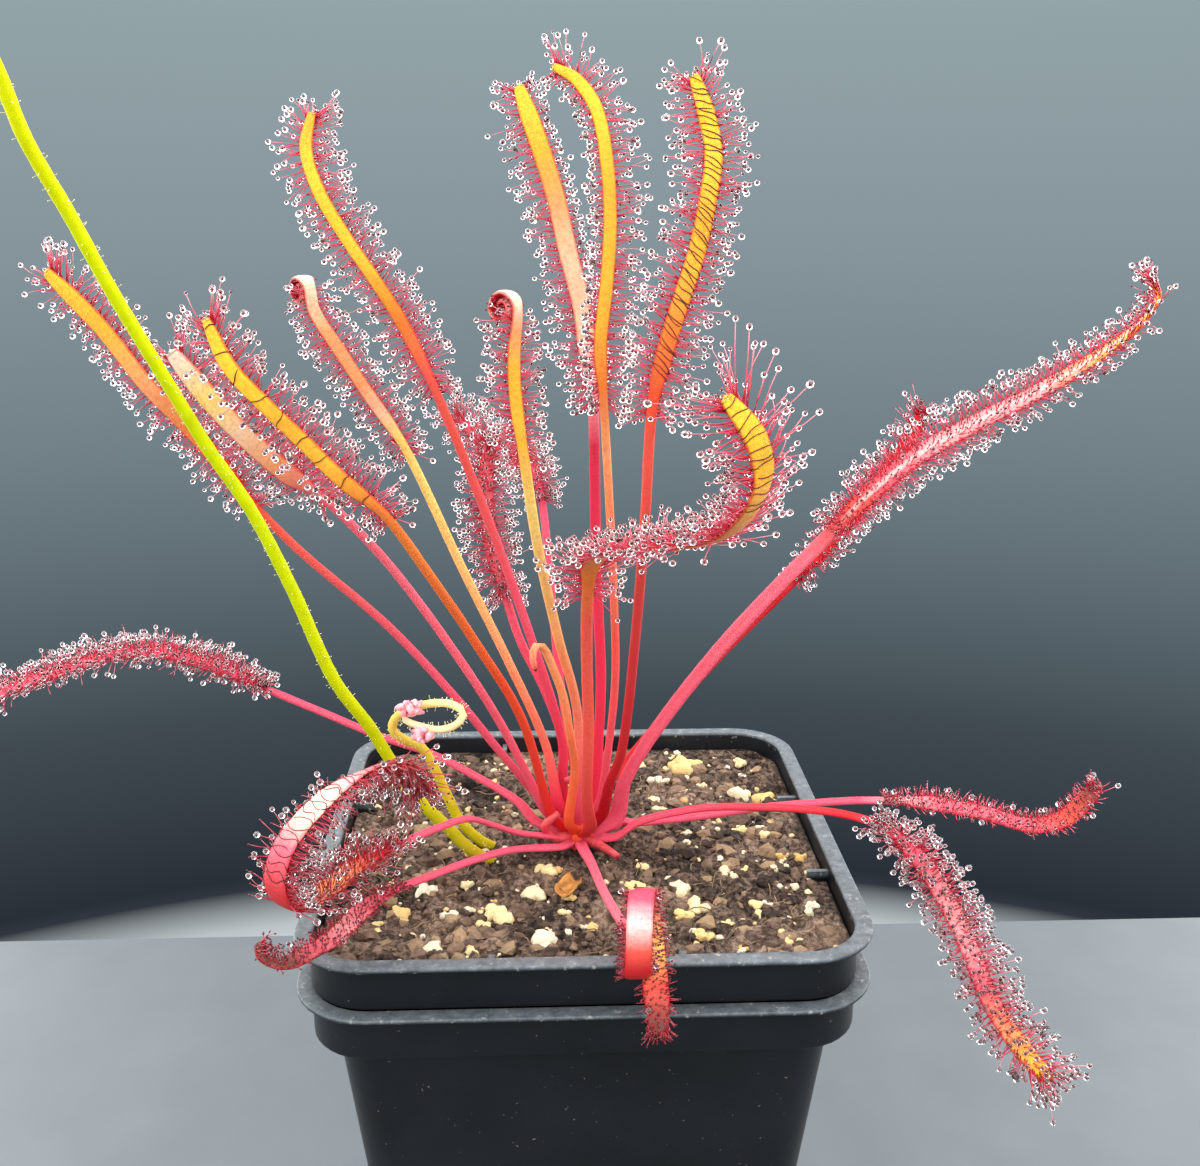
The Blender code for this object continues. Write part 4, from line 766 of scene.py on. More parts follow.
class Surface(Nodes):
    """A material's node tree."""

    def __init__(self, name, roughness=0.5, **inputs):
        self.material = bpy.data.materials.new(name)
        self.material.use_nodes = True
        super().__init__(self.material.node_tree)
        self.shader = self.tree.nodes["Principled BSDF"]
        self.shader.inputs["Roughness"].default_value = roughness
        for socket, value in inputs.items():
            self.shader.inputs[socket.replace("_", " ")].default_value = value

    def stored(self, name):
        """A number stored on the mesh's points."""
        return self.add("Attribute", attribute_name=name).outputs["Fac"]

    def noise(self, scale, detail=3.0, roughness=0.5, vector=None):
        """A noise value, over the object's own coordinates unless others are given."""
        if vector is None:
            vector = self.add("TexCoord").outputs["Object"]
        inputs = {"Vector": vector, "Scale": scale, "Detail": detail, "Roughness": roughness}
        return self.add("TexNoise", inputs).outputs["Fac"]

    def fade(self, value, low, high):
        """A value eased from 0 at low to 1 at high."""
        inputs = {"Value": value, "From Min": low, "From Max": high}
        return self.add("MapRange", inputs, interpolation_type="SMOOTHSTEP").outputs["Result"]

    def sum_of(self, operation, first, second):
        """Two values put together by a maths operation."""
        return self.add("Math", {0: first, 1: second}, operation=operation).outputs["Value"]

    def product(self, *values):
        """Values multiplied with each other."""
        result = values[0]
        for value in values[1:]:
            result = self.sum_of("MULTIPLY", result, value)
        return result

    def reverse(self, value):
        """A value from 0 to 1 turned round."""
        return self.sum_of("SUBTRACT", 1.0, value)

    def mix(self, factor, first, second):
        """Two colours mixed."""
        return self.add("Mix", {0: factor, 6: first, 7: second}, data_type="RGBA").outputs[2]

    def bump(self, height, distance):
        """Relief on the surface over any that it has already, its depth in millimetres."""
        node = self.add("Bump", {"Height": height, "Distance": distance * MM, "Strength": 1.0})
        normal = self.shader.inputs["Normal"]
        if normal.is_linked:
            self.put(node.inputs["Normal"], normal.links[0].from_socket)
        self.put(normal, node.outputs["Normal"])

    def colour(self, value):
        """The surface's colour."""
        self.put(self.shader.inputs["Base Color"], value)


def evenly(colours, low, high):
    """Stops for colours spread evenly from low to high."""
    last = len(colours) - 1
    return [(low + (high - low) * index / last, colour) for index, colour in enumerate(colours)]


def leaf_material(leaf):
    """Waxy leaf skin: colours along the petiole and both sides of the blade, red edges, painted highlights
    and fine relief.
    """
    skin = Surface(leaf.name + "_skin", 0.42, Subsurface_Weight=0.2, Subsurface_Scale=0.5 * MM,
                   Specular_IOR_Level=0.07)
    skin.shader.inputs["Subsurface Radius"].default_value = (1.0, 0.4, 0.2)
    along = skin.stored("along")
    across = skin.stored("across")
    side = skin.stored("side")
    stretched = skin.add("CombineXYZ", {"X": across, "Y": skin.stored("distance"), "Z": side}).outputs[0]
    petiole = evenly(leaf.petiole_colours, 0.05, 0.45)
    under = skin.ramp(along, petiole + evenly(leaf.under, 0.52, 0.98))
    upper = skin.ramp(along, petiole + evenly(leaf.upper, 0.52, 0.98))
    colour = skin.mix(skin.fade(side, 0.0, 0.35), under, upper)
    on_blade = skin.fade(along, 0.49, 0.53)
    from_middle = skin.sum_of("ABSOLUTE", across, 0.0)
    edge_red = EDGE_RED_AGED if leaf.aged else EDGE_RED
    edge = skin.product(skin.fade(from_middle, 0.72, 1.0), on_blade, edge_red)
    colour = skin.mix(edge, colour, RED)
    # A pale blush down the middle of the upper side is a painted highlight along the midrib.
    if leaf.midrib_highlight:
        painted_rib_highlight = skin.reverse(skin.fade(from_middle, 0.1, 0.4))
        painted_rib_highlight = skin.product(painted_rib_highlight, skin.fade(side, 0.2, 0.6), leaf.midrib_highlight, on_blade)
        colour = skin.mix(painted_rib_highlight, colour, BLUSH)
    cells = skin.noise(1.6, 4.0, 0.6, stretched)
    colour = skin.mix(skin.fade(cells, 0.35, 0.75), colour, skin.mix(0.24, colour, RED))
    grain = skin.noise(1700.0, 4.0, 0.7)
    colour = skin.mix(skin.fade(grain, 0.5, 0.68), colour, skin.mix(0.3, colour, CRIMSON))
    streaks_at = skin.add("Mapping", {"Vector": stretched, "Scale": (9.0, 0.35, 1.0)}).outputs[0]
    streak_relief_and_highlight = skin.noise(1.0, 3.0, 0.6, streaks_at)
    # Pale cream streaks over the skin are painted highlight; the same streaks also give relief.
    colour = skin.mix(skin.fade(streak_relief_and_highlight, 0.6, 0.85), colour, skin.mix(0.05, colour, CREAM))
    skin.colour(colour)
    skin.bump(streak_relief_and_highlight, 0.12)
    skin.bump(grain, 0.05)
    bands_at = skin.add("Mapping", {"Vector": stretched, "Scale": (0.8, 2.4, 1.0)}).outputs[0]
    skin.bump(skin.noise(1.0, 2.0, 0.5, bands_at), 0.1)
    return skin.material


def make_skin(shape):
    """One leaf's petiole and blade."""
    leaf = shape.leaf
    petiole = np.arange(0.0, shape.blade_start, RING_GAP_PETIOLE)
    blade = np.arange(shape.blade_start, shape.curl_start, RING_GAP_BLADE)
    curl = np.linspace(shape.curl_start, shape.length - POINT_LENGTH / 2,
                       max(3, int((shape.length - shape.curl_start) / RING_GAP_CURL)))
    if leaf.blade:
        stations = np.concatenate([petiole, blade, curl])
    else:
        stations = np.append(petiole, shape.length - TIP_REACH)
    angles = 2 * np.pi * np.arange(SECTION_POINTS) / SECTION_POINTS
    distance = np.repeat(stations, SECTION_POINTS)
    angle = np.tile(angles, len(stations))
    points = shape.surface(distance, angle)
    wobble = np.array([noise.noise(Vector((d * 0.7, a * 1.3, shape.leaf.azimuth))) for d, a in
                       zip(distance, np.sin(angle))])
    points += (points - shape.route.at(distance)) * SKIN_UNEVENNESS * wobble[:, None]
    end = np.array([shape.length])
    tip = shape.route.at(end) + shape.route.tangent(end) * TIP_REACH
    last = len(points)
    ring = last - SECTION_POINTS + np.arange(SECTION_POINTS)
    fan = np.stack([ring, np.roll(ring, -1), np.full(SECTION_POINTS, last)], axis=-1)
    base = np.arange(SECTION_POINTS)[None, ::-1]
    piece = make_piece(leaf.name + "_skin", np.vstack([points, tip]),
                       [tube_faces(len(stations), SECTION_POINTS), fan, base], leaf_material(leaf))
    distance = np.append(distance, shape.length)
    on_petiole = 0.5 * distance / shape.blade_start
    on_blade = 0.5 + 0.5 * (distance - shape.blade_start) / max(shape.length - shape.blade_start, 1e-6)
    add_values(piece, "along", np.where(distance < shape.blade_start, on_petiole, on_blade))
    add_values(piece, "distance", distance)
    add_values(piece, "across", np.append(np.cos(angle), 0.0))
    add_values(piece, "side", np.append(np.sin(angle), 0.0))
    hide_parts(leaf.name)


def tentacle_feet(shape, rng):
    """Where a leaf's tentacles stand: distances along the blade and places across it."""
    start = shape.blade_start - STALKS_BEFORE_BLADE
    end = shape.length - (STALKS_BEFORE_CURLED_TIP if shape.leaf.curl_turns else STALKS_BEFORE_TIP)
    distances, places = [], []
    for column, gap in COLUMNS:
        for side in (-1, 1):
            count = int((end - start) / gap * (shape.leaf.face if column < INNER_PLACE else 1.0))
            share = (np.arange(count) + rng.uniform(-0.35, 0.35, count) + 0.5) / count
            distances.append(start + (end - start) * np.clip(share, 0, 1) ** CROWDING_AT_START)
            shift = rng.uniform(-COLUMN_UNEVENNESS, COLUMN_UNEVENNESS, count)
            places.append(np.clip(side * column + shift, -1, 1))
    tip_count = 0 if shape.leaf.curl_turns else TIP_STALKS
    distances.append(shape.length - 0.2 - rng.uniform(0, TIP_STALK_RUN, tip_count))
    places.append(rng.uniform(-1, 1, tip_count))
    return np.concatenate(distances), np.concatenate(places)


def stalk_lines(shape, rng):
    """Centre lines of a leaf's tentacles, which ones carry a drop, and their places across the leaf."""
    leaf = shape.leaf
    distance, place = tentacle_feet(shape, rng)
    count = len(distance)
    angle = np.arccos(place * 0.98)
    feet = shape.surface(distance, angle)
    tangent, across, up = shape.directions(distance)
    feet -= up * 0.08
    tilt = np.abs(place) ** TILT_POWER * TILT_AT_EDGE + rng.normal(0, TILT_SPREAD, count)
    tilt = tilt * np.sign(place)
    to_tip = 1 - smooth_step((shape.length - distance) / TIP_RUN)
    at_start = 1 - smooth_step((distance - shape.blade_start) / START_RUN)
    rolled = (distance > shape.curl_start) & (leaf.curl_turns > 0)
    forward = rng.normal(0.15, 0.25, count) + FORWARD_AT_TIP * to_tip * (not leaf.curl_turns)
    forward -= BACK_AT_START * at_start
    direction = up * np.cos(tilt)[:, None] + across * np.sin(tilt)[:, None] + tangent * forward[:, None]
    direction = unit(direction + rng.normal(0, 0.16, (count, 3)) * to_tip[:, None])
    middle = REACH_MIDDLE * leaf.face
    length = middle + (REACH_EDGE - middle) * np.abs(place) ** REACH_POWER
    length *= (leaf.reach * rng.uniform(*REACH_SPREAD, count) * (1 + LONGER_AT_TIP * to_tip)
               * (1 - SHORTER_AT_START * at_start))
    length *= np.where(place < 0, *leaf.side_reach)
    length = np.where(rolled, ROLLED_REACH, length)
    curled = rng.random(count) < leaf.curled
    bend = rng.normal(0, 0.13, (count, 3))
    bend += up * rng.uniform(0.0, 0.25, count)[:, None]
    bend[curled] += (up[curled] * 1.1 - direction[curled] * 0.9) * rng.uniform(0.5, 1.1, (curled.sum(), 1))
    shares = np.linspace(0, 1, STALK_STEPS)[None, :, None]
    paths = direction[:, None, :] * shares + bend[:, None, :] * shares**2
    lines = feet[:, None, :] + paths * length[:, None, None]
    dewy = (rng.random(count) < leaf.dew) & ~(curled & (rng.random(count) < CURLED_DRY_SHARE)) & ~rolled
    dewy &= (np.abs(place) > INNER_PLACE) | (rng.random(count) < leaf.inner_dew)
    shown = ~rolled | (rng.random(count) < ROLLED_SHARE)
    return lines[shown], dewy[shown], np.abs(place[shown])


def clear_of_pot(lines):
    """Which tentacles end clear of the soil and the pot's rim."""
    ends = lines[:, -1]
    over_pot = np.max(np.abs(ends[:, :2]), axis=1) < FLANGE_HALF + CLEAR_OF_FLANGE
    return ~(over_pot & (ends[:, 2] < CLEAR_OF_RIM) & (ends[:, 2] > LOWEST_OVER_POT))


def stalk_mesh(lines, radii):
    """Three-sided stalks along lines: their points, and the faces of their sides and ends."""
    count, steps = lines.shape[:2]
    direction = unit(np.gradient(lines, axis=1))
    first, second = side_frame(direction)
    turns = 2 * np.pi * np.arange(3) / 3
    offsets = (first[:, :, None, :] * np.cos(turns)[None, None, :, None]
               + second[:, :, None, :] * np.sin(turns)[None, None, :, None])
    points = lines[:, :, None, :] + offsets * radii[None, :, None, None]
    quads = tube_faces(steps, 3)
    caps = cap_faces(3, (steps - 1) * 3)
    starts = np.arange(count)[:, None, None] * steps * 3
    quads = (quads[None] + starts).reshape(-1, 4)
    return points.reshape(-1, 3), quads, (caps[None] + starts).reshape(-1, 3)


def make_tentacles(shape, index, stalk_material, dew_material):
    """A leaf's stalks with their glands, and the drops on them."""
    leaf = shape.leaf
    rng = np.random.default_rng(SEED + index)
    lines, dewy, place = stalk_lines(shape, rng)
    keep = clear_of_pot(lines)
    lines, dewy, place = lines[keep], dewy[keep], place[keep]
    points, quads, caps = stalk_mesh(lines, np.linspace(STALK_RADIUS, STALK_RADIUS * 0.5, STALK_STEPS))
    gland_points, gland_faces = heads_on(lines, GLAND, np.full(len(lines), GLAND_RADIUS), GLAND_STRETCH)
    piece = make_piece(leaf.name + "_tentacles", np.vstack([points, gland_points]),
                       [quads, caps, gland_faces + len(points)], stalk_material)
    along = np.tile(np.repeat(np.linspace(0, 1, STALK_STEPS), 3), len(lines))
    add_values(piece, "along", np.concatenate([along, np.full(len(gland_points), 2.0)]))
    inner, outer = dewy & (place < INNER_PLACE), dewy & (place >= INNER_PLACE)
    size = DROP_RADIUS * rng.uniform(*DROP_SIZES, len(lines))
    points, faces = heads_on(lines[outer], DROP, size[outer], DROP_STRETCH)
    inner_size = size[inner] * min(1.0, INNER_DROP_SHARE * leaf.face ** 0.4)
    inner_points, inner_faces = heads_on(lines[inner], INNER_DROP, inner_size, DROP_STRETCH)
    dew = make_piece(leaf.name + "_dew", np.vstack([points, inner_points]),
                     [faces, inner_faces + len(points)], dew_material)


def heads_on(lines, template, sizes, stretch):
    """Copies of a round template on the ends of stalks, longer along the stalk than across it."""
    direction = unit(lines[:, -1] - lines[:, -2])
    first, second = side_frame(direction)
    points = template[0]
    shaped = (first[:, None, :] * points[None, :, 0:1] + second[:, None, :] * points[None, :, 1:2]
              + direction[:, None, :] * points[None, :, 2:3] * stretch)
    return copies(template, lines[:, -1][:, None, :] + shaped * sizes[:, None, None])


def make_wraps(shape, index, material):
    """Dark tentacles that lie bent over the blade's smooth side; on the front centre leaf, painted shade
    between ridges.
    """
    leaf = shape.leaf
    if not leaf.wraps:
        return
    rng = np.random.default_rng(SEED * 3 + index)
    start = shape.blade_start + (shape.curl_start - shape.blade_start) * leaf.wraps_from
    stations = np.linspace(start, shape.curl_start - 1.0, leaf.wraps) + rng.uniform(-0.35, 0.35, leaf.wraps)
    lines = []
    for distance in stations:
        turns = np.linspace(-0.05, rng.uniform(0.7, 1.0), WRAP_STEPS) * math.pi
        turns = turns if rng.random() < 0.7 else math.pi - turns
        skew = np.cos(turns) * rng.uniform(*leaf.wraps_slant) * 0.7
        waves = np.sin(turns * rng.uniform(1.5, 4.0) + rng.uniform(0, 2 * math.pi))
        skew += waves * (WRAP_WAVES_AGED if leaf.aged else WRAP_WAVES)
        surface = shape.surface(distance + skew, -turns)
        middle = shape.route.at(distance + skew)
        lines.append(surface + unit(surface - middle) * WRAP_LIFT)
    points, quads, caps = stalk_mesh(np.array(lines), np.linspace(*WRAP_RADII, WRAP_STEPS))
    piece = make_piece(leaf.name + "_wraps", points, [quads, caps], material)


def stalk_material(name, foot, middle, top, gland):
    """Stalks that turn paler upwards, with a dark gland."""
    stalk = Surface(name, 0.35, Subsurface_Weight=0.2, Subsurface_Scale=0.2 * MM)
    along = stalk.stored("along")
    half = stalk.sum_of("MULTIPLY", along, 0.5)
    stalk.colour(stalk.ramp(half, [(0.0, foot), (0.25, middle), (0.47, top), (0.55, gland), (1.0, gland)]))
    return stalk.material


def wrap_material():
    """Old tentacles, dark maroon, also used as strips of painted shade on the front centre leaf."""
    wrap = Surface("tentacle_wraps", 0.4)
    wrap.colour(wrap.ramp(wrap.noise(900.0), [(0.3, srgb(60, 8, 18)), (0.7, srgb(130, 22, 35))]))
    return wrap.material


def dew_material():
    """Clear sticky drops."""
    dew = Surface("dew", 0.0, Transmission_Weight=1.0, IOR=1.5)
    dew.shader.inputs["Base Color"].default_value = (1.0, 1.0, 1.0, 1.0)
    return dew.material


def square_outline(half, corner, side_steps):
    """Outline of a square with round corners, counter-clockwise seen from above."""
    parts = []
    for quarter in range(4):
        sign = np.array((1 if quarter in (0, 3) else -1, 1 if quarter in (0, 1) else -1))
        angles = (quarter + np.linspace(0, 1, CORNER_STEPS + 1)) * math.pi / 2
        arc = sign * (half - corner) + corner * np.stack([np.cos(angles), np.sin(angles)], -1)
        onward = (quarter + 2) * math.pi / 2
        along = np.array((math.cos(onward), math.sin(onward)))
        shares = (np.arange(side_steps) + 1)[:, None] / (side_steps + 1)
        parts += [arc, arc[-1] + along * 2 * (half - corner) * shares]
    return np.vstack(parts)


def rounded_profile(points, radius, steps=3):
    """A profile with its corners rounded off."""
    points = np.array(points, float)
    result = [points[0]]
    for before, corner, after in zip(points, points[1:], points[2:]):
        back, onward = before - corner, after - corner
        cut = min(radius, 0.45 * np.linalg.norm(back), 0.45 * np.linalg.norm(onward))
        start, end = corner + unit(back) * cut, corner + unit(onward) * cut
        for t in np.linspace(0, 1, steps + 1):
            result.append(start * (1 - t) ** 2 + corner * 2 * t * (1 - t) + end * t**2)
    return np.array(result + [points[-1]])


def loft_square(profile, side_steps):
    """Points and quads of square rings with round corners, one for each half width, corner and height."""
    rings = [np.column_stack([square_outline(half, corner, side_steps),
                              np.full(4 * (CORNER_STEPS + 1 + side_steps), height)])
             for half, corner, height in profile]
    return np.vstack(rings), tube_faces(len(rings), len(rings[0])), len(rings[0])


def make_pot(node, rim, material):
    """One nursery pot with rounded lips, band and flange, and its drain holes."""
    base = rim - POT_HEIGHT
    shoulder = rim - BAND_HEIGHT
    base_half = BODY_HALF - (POT_HEIGHT - BAND_HEIGHT) * BODY_TAPER
    flange_low = rim - FLANGE_THICKNESS
    step = shoulder + POT_WALL
    profile = rounded_profile([
        (base_half - 3, BASE_CORNER - 3, base),
        (base_half, BASE_CORNER, base),
        (BODY_HALF, BODY_CORNER, shoulder),
        (BAND_HALF, BAND_CORNER, shoulder),
        (BAND_HALF, BAND_CORNER, flange_low),
        (FLANGE_HALF, FLANGE_CORNER, flange_low),
        (FLANGE_HALF, FLANGE_CORNER, rim),
        (BAND_HALF - POT_WALL, BAND_CORNER - POT_WALL, rim),
        (BAND_HALF - POT_WALL, BAND_CORNER - POT_WALL, step),
        (BODY_HALF - POT_WALL, BODY_CORNER - POT_WALL, step),
        (base_half - POT_WALL, BASE_CORNER - POT_WALL, base + 2 * POT_WALL),
        (base_half - POT_WALL - 3, BASE_CORNER - POT_WALL - 3, base + 2 * POT_WALL),
    ], 0.55)
    points, quads, sides = loft_square(profile, POT_SIDE_STEPS)
    piece = make_piece(node + "_shell", points, [quads, cap_faces(sides, len(points) - sides)], material)
    cutter = drain_cutter(base)
    cut = piece.modifiers.new("drain_holes", "BOOLEAN")
    cut.operation = "DIFFERENCE"
    cut.object = cutter
    cut.solver = "EXACT"
    depsgraph = bpy.context.evaluated_depsgraph_get()
    piece.data = bpy.data.meshes.new_from_object(piece.evaluated_get(depsgraph))
    piece.modifiers.clear()
    bpy.data.objects.remove(cutter, do_unlink=True)
    piece.data.shade_smooth()
    piece.data.set_sharp_from_angle(angle=math.radians(40))
    height = np.empty(len(piece.data.vertices) * 3)
    piece.data.vertices.foreach_get("co", height)
    add_values(piece, "below_rim", (rim + RIM_Z) - height[2::3] / MM)
    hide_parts(node)


def make_lugs(material):
    """Small upright fins inside the inner pot's band, two on each wall, that keep stacked pots apart."""
    low = np.array((BODY_HALF - POT_WALL, -LUG_THICKNESS / 2, POT_WALL - BAND_HEIGHT))
    high = np.array((BAND_HALF - POT_WALL + POT_WALL / 2, LUG_THICKNESS / 2, -LUG_BELOW_RIM))
    is_high = np.array([(x, y, z) for z in (0, 1) for x, y in ((0, 0), (1, 0), (1, 1), (0, 1))])
    corners = np.where(is_high, high, low)
    sides = np.array([(3, 2, 1, 0), (4, 5, 6, 7), (0, 1, 5, 4), (1, 2, 6, 5), (2, 3, 7, 6), (3, 0, 4, 7)])
    parts = []
    for wall in range(4):
        turn = np.array(Matrix.Rotation(math.radians(90 * wall), 3, "Z"))
        for place in (-LUG_PLACE, LUG_PLACE):
            parts.append(((corners + (0, place, 0)) @ turn.T, [sides]))
    points, faces = merged(parts)
    piece = make_piece("pot_inner_lugs", points, faces, material, smooth=False)
    # The lugs' tops take the rim's grey, a painted highlight on their lit tops, while their lower parts
    # stay black.
    add_values(piece, "below_rim", np.where(points[:, 2] > -2 * LUG_BELOW_RIM, 0.0, 3.0))


def drain_cutter(base):
    """Four round drills for the holes in a pot's base."""
    shape = bmesh.new()
    for side_x in (-1, 1):
        for side_y in (-1, 1):
            place = Vector((side_x * DRAIN_PLACE, side_y * DRAIN_PLACE, base + RIM_Z)) * MM
            bmesh.ops.create_cone(shape, cap_ends=True, segments=32, radius1=DRAIN_RADIUS * MM,
                                  radius2=DRAIN_RADIUS * MM, depth=6 * MM,
                                  matrix=Matrix.Translation(place))
    mesh = bpy.data.meshes.new("drain_cutter")
    shape.to_mesh(mesh)
    shape.free()
    cutter = bpy.data.objects.new("drain_cutter", mesh)
    bpy.context.scene.collection.objects.link(cutter)
    return cutter


def pot_material():
    """Black moulded plastic, grey on the rim from scuffs and painted sheen, with pale flecks of scuffs and
    painted highlight near the lip, and dusted with peat.
    """
    pot = Surface("pot_plastic", 0.4, Specular_IOR_Level=0.35)
    below = pot.stored("below_rim")
    fine = pot.noise(900.0, 4.0)
    broad = pot.noise(60.0, 4.0)
    base = pot.ramp(broad, [(0.3, srgb(16, 19, 23)), (0.7, srgb(26, 30, 35))])
    # Grey over the rim's top faces: partly scuffs, partly painted sheen of the lit tops.
    scuffs_and_painted_sheen = pot.ramp(pot.noise(700.0, 6.0, 0.75),
                       [(0.35, srgb(70, 76, 81)), (0.6, srgb(102, 108, 112)), (0.8, srgb(182, 184, 183))])
    colour = pot.mix(pot.reverse(pot.fade(below, 0.1, 0.7)), base, scuffs_and_painted_sheen)
    # Pale flecks just under the rim: partly scuffs, partly painted highlight on the lip's edges.
    lip_scuffs_and_highlight = pot.product(pot.fade(fine, 0.62, 0.72), pot.reverse(pot.fade(below, 0.5, 1.6)), 0.6)
    colour = pot.mix(lip_scuffs_and_highlight, colour, srgb(170, 168, 160))
    specks = pot.product(pot.fade(pot.noise(1500.0, 2.0), 0.73, 0.76), 0.5)
    colour = pot.mix(specks, colour, srgb(150, 140, 128))
    pot.colour(colour)
    rough = pot.add("MapRange", {"Value": broad, "To Min": 0.3, "To Max": 0.52}).outputs["Result"]
    pot.put(pot.shader.inputs["Roughness"], rough)
    pot.bump(fine, 0.03)
    pot.bump(pot.noise(140.0, 2.0), 0.12)
    return pot.material


def soil_height(x, y):
    """Relief of the soil, level round the crown and at the pot's wall."""
    from_crown = math.hypot(x - CROWN[0], y - CROWN[1]) - CROWN_RADIUS
    from_wall = BAND_HALF - max(abs(x), abs(y))
    calm = min(1.0, max(0.0, from_crown / CALM_ROUND_CROWN), max(0.0, from_wall / CALM_ALONG_WALL))
    coarse = noise.noise(Vector((x, y, 0)) / SOIL_GRAIN)
    fine = noise.noise(Vector((x, y, SOIL_GRAIN)) / SOIL_FINE_GRAIN)
    return SOIL_LEVEL + SOIL_RELIEF * calm * (coarse + SOIL_FINE_SHARE * fine)


def soil_detail(x, y):
    """Crumbly relief over the soil's main shape."""
    from_wall = BAND_HALF - POT_WALL - CAD_GAP - max(abs(x), abs(y))
    crumbs = noise.noise(Vector((x, y, 3)) / 1.7) + 0.6 * noise.noise(Vector((x, y, 9)) / 0.8)
    return SOIL_ROUGHNESS * crumbs * min(1.0, from_wall / 1.5)


def make_soil(material):
    """Peat that fills the inner pot, with a fine crumbly top."""
    shoulder = -BAND_HEIGHT + POT_WALL + CAD_GAP
    floor = -POT_HEIGHT + 2 * POT_WALL + CAD_GAP
    inset = POT_WALL + CAD_GAP
    base_half = BODY_HALF - (POT_HEIGHT - BAND_HEIGHT) * BODY_TAPER
    points, _, sides = loft_square([
        (base_half - inset, BASE_CORNER - inset, floor),
        (BODY_HALF - inset, BODY_CORNER - inset, shoulder),
        (BAND_HALF - inset, BAND_CORNER - inset, shoulder),
    ], SOIL_SIDE_STEPS)
    edge = square_outline(BAND_HALF - inset, BAND_CORNER - inset, SOIL_SIDE_STEPS)
    shares = np.linspace(1, 0.015, SOIL_RINGS)
    middle = np.array(CROWN[:2])
    flat = (middle + (edge[None] - middle) * shares[:, None, None]).reshape(-1, 2)
    heights = [soil_height(x, y) + soil_detail(x, y) for x, y in flat]
    top = np.column_stack([flat, heights])
    points = np.vstack([points, top])
    quads = tube_faces(3 + SOIL_RINGS, sides)
    piece = make_piece("soil_peat", points, [quads, cap_faces(sides, len(points) - sides)], material)
    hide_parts("soil")


def lumps(template, centres, sizes, squash, roughness, rng):
    """Uneven lumps: the template's copies turned, squashed and pushed in and out at random."""
    points = template[0]
    count = len(centres)
    radii = 1 + rng.uniform(-roughness, roughness, (count, len(points), 1))
    axes = np.linalg.qr(rng.normal(size=(count, 3, 3)))[0]
    stretch = rng.uniform(0.7, 1.25, (count, 1, 3))
    shaped = np.einsum("nij,npj->npi", axes, points[None] * radii * stretch)
    shaped[..., 2] *= squash
    return copies(template, np.asarray(centres)[:, None, :] + shaped * np.asarray(sizes)[:, None, None])


def free_spots(count, sizes, stems, clearance, rng, reach=SOIL_REACH):
    """Random spots on the soil away from the crown and from low stems."""
    spots = []
    while len(spots) < count:
        x, y = rng.uniform(-reach, reach, 2)
        size = sizes[0] + (sizes[1] - sizes[0]) * rng.random() ** LITTER_SIZE_POWER
        if max(abs(x), abs(y)) + size * 0.6 > reach or math.hypot(x - CROWN[0], y - CROWN[1]) < clearance:
            continue
        if np.min(np.hypot(stems[:, 0] - x, stems[:, 1] - y)) < size + LITTER_CLEAR_OF_STEMS:
            continue
        spots.append((x, y, size))
    return spots


def grains_in(size):
    """How many grains a perlite lump is made of."""
    if size < MIDDLE_LUMP_SIZE:
        return 1
    return MIDDLE_LUMP_GRAINS if size < LARGE_LUMP_SIZE else LARGE_LUMP_GRAINS


def make_crumbs(stems, material, rng):
    """Peat crumbs that lie on the soil."""
    spots = free_spots(CRUMB_COUNT, CRUMB_SIZES, stems, LITTER_CLEAR_OF_CROWN, rng)
    centres = [(x, y, soil_height(x, y) + size * 0.1) for x, y, size in spots]
    points, faces = lumps(BALL_ROUGH, centres, [size for _, _, size in spots], 0.65, 0.3, rng)
    piece = make_piece("soil_crumbs", points, [faces], material, smooth=False)
    add_values(piece, "tone", np.repeat(rng.random(len(spots)), len(BALL_ROUGH[0])))


def make_perlite(stems, material, rng):
    """Perlite lumps that lie on the soil, the larger ones made of several grains of one tone."""
    spots = LARGE_LUMPS + free_spots(PERLITE_COUNT, PERLITE_SIZES, stems, PERLITE_CLEAR_OF_CROWN, rng)
    centres, sizes, tones = [], [], []
    for x, y, size in spots:
        tone = rng.random()
        grains = grains_in(size)
        for _ in range(grains):
            shift = rng.normal(0, 0.4 * size, 2) if grains > 1 else (0.0, 0.0)
            own = size * (rng.uniform(*GRAIN_SHARES) if grains > 1 else 1.0)
            centres.append((x + shift[0], y + shift[1], soil_height(x, y) + own * 0.3))
            sizes.append(own)
            tones.append(tone)
    points, faces = lumps(BALL_FINE, centres, sizes, 0.8, 0.22, rng)
    piece = make_piece("soil_perlite", points, [faces], material)
    add_values(piece, "tone", np.repeat(tones, len(BALL_FINE[0])))


def make_fibres(stems, material, rng):
    """Bent peat fibres that lie on the soil."""
    lines = []
    spots = free_spots(FIBRE_COUNT, FIBRE_SIZES, stems, LITTER_CLEAR_OF_CROWN, rng, SOIL_REACH - 2.5)
    for x, y, size in spots:
        heading = rng.uniform(0, 2 * math.pi) + np.linspace(0, rng.normal(0, 1.3), len(FIBRE_RADII))
        steps = np.stack([np.cos(heading), np.sin(heading)], -1) * size * 0.5
        flat = np.clip(np.array((x, y)) + np.cumsum(steps, axis=0), -SOIL_REACH, SOIL_REACH)
        lines.append([(px, py, soil_height(px, py) + FIBRE_LIFT + rng.uniform(0, 0.5)) for px, py in flat])
    points, quads, caps = stalk_mesh(np.array(lines), np.array(FIBRE_RADII))
    piece = make_piece("soil_fibres", points, [quads, caps], material)
    add_values(piece, "tone", np.repeat(rng.uniform(0.4, 1.2, len(lines)), 3 * len(FIBRE_RADII)))


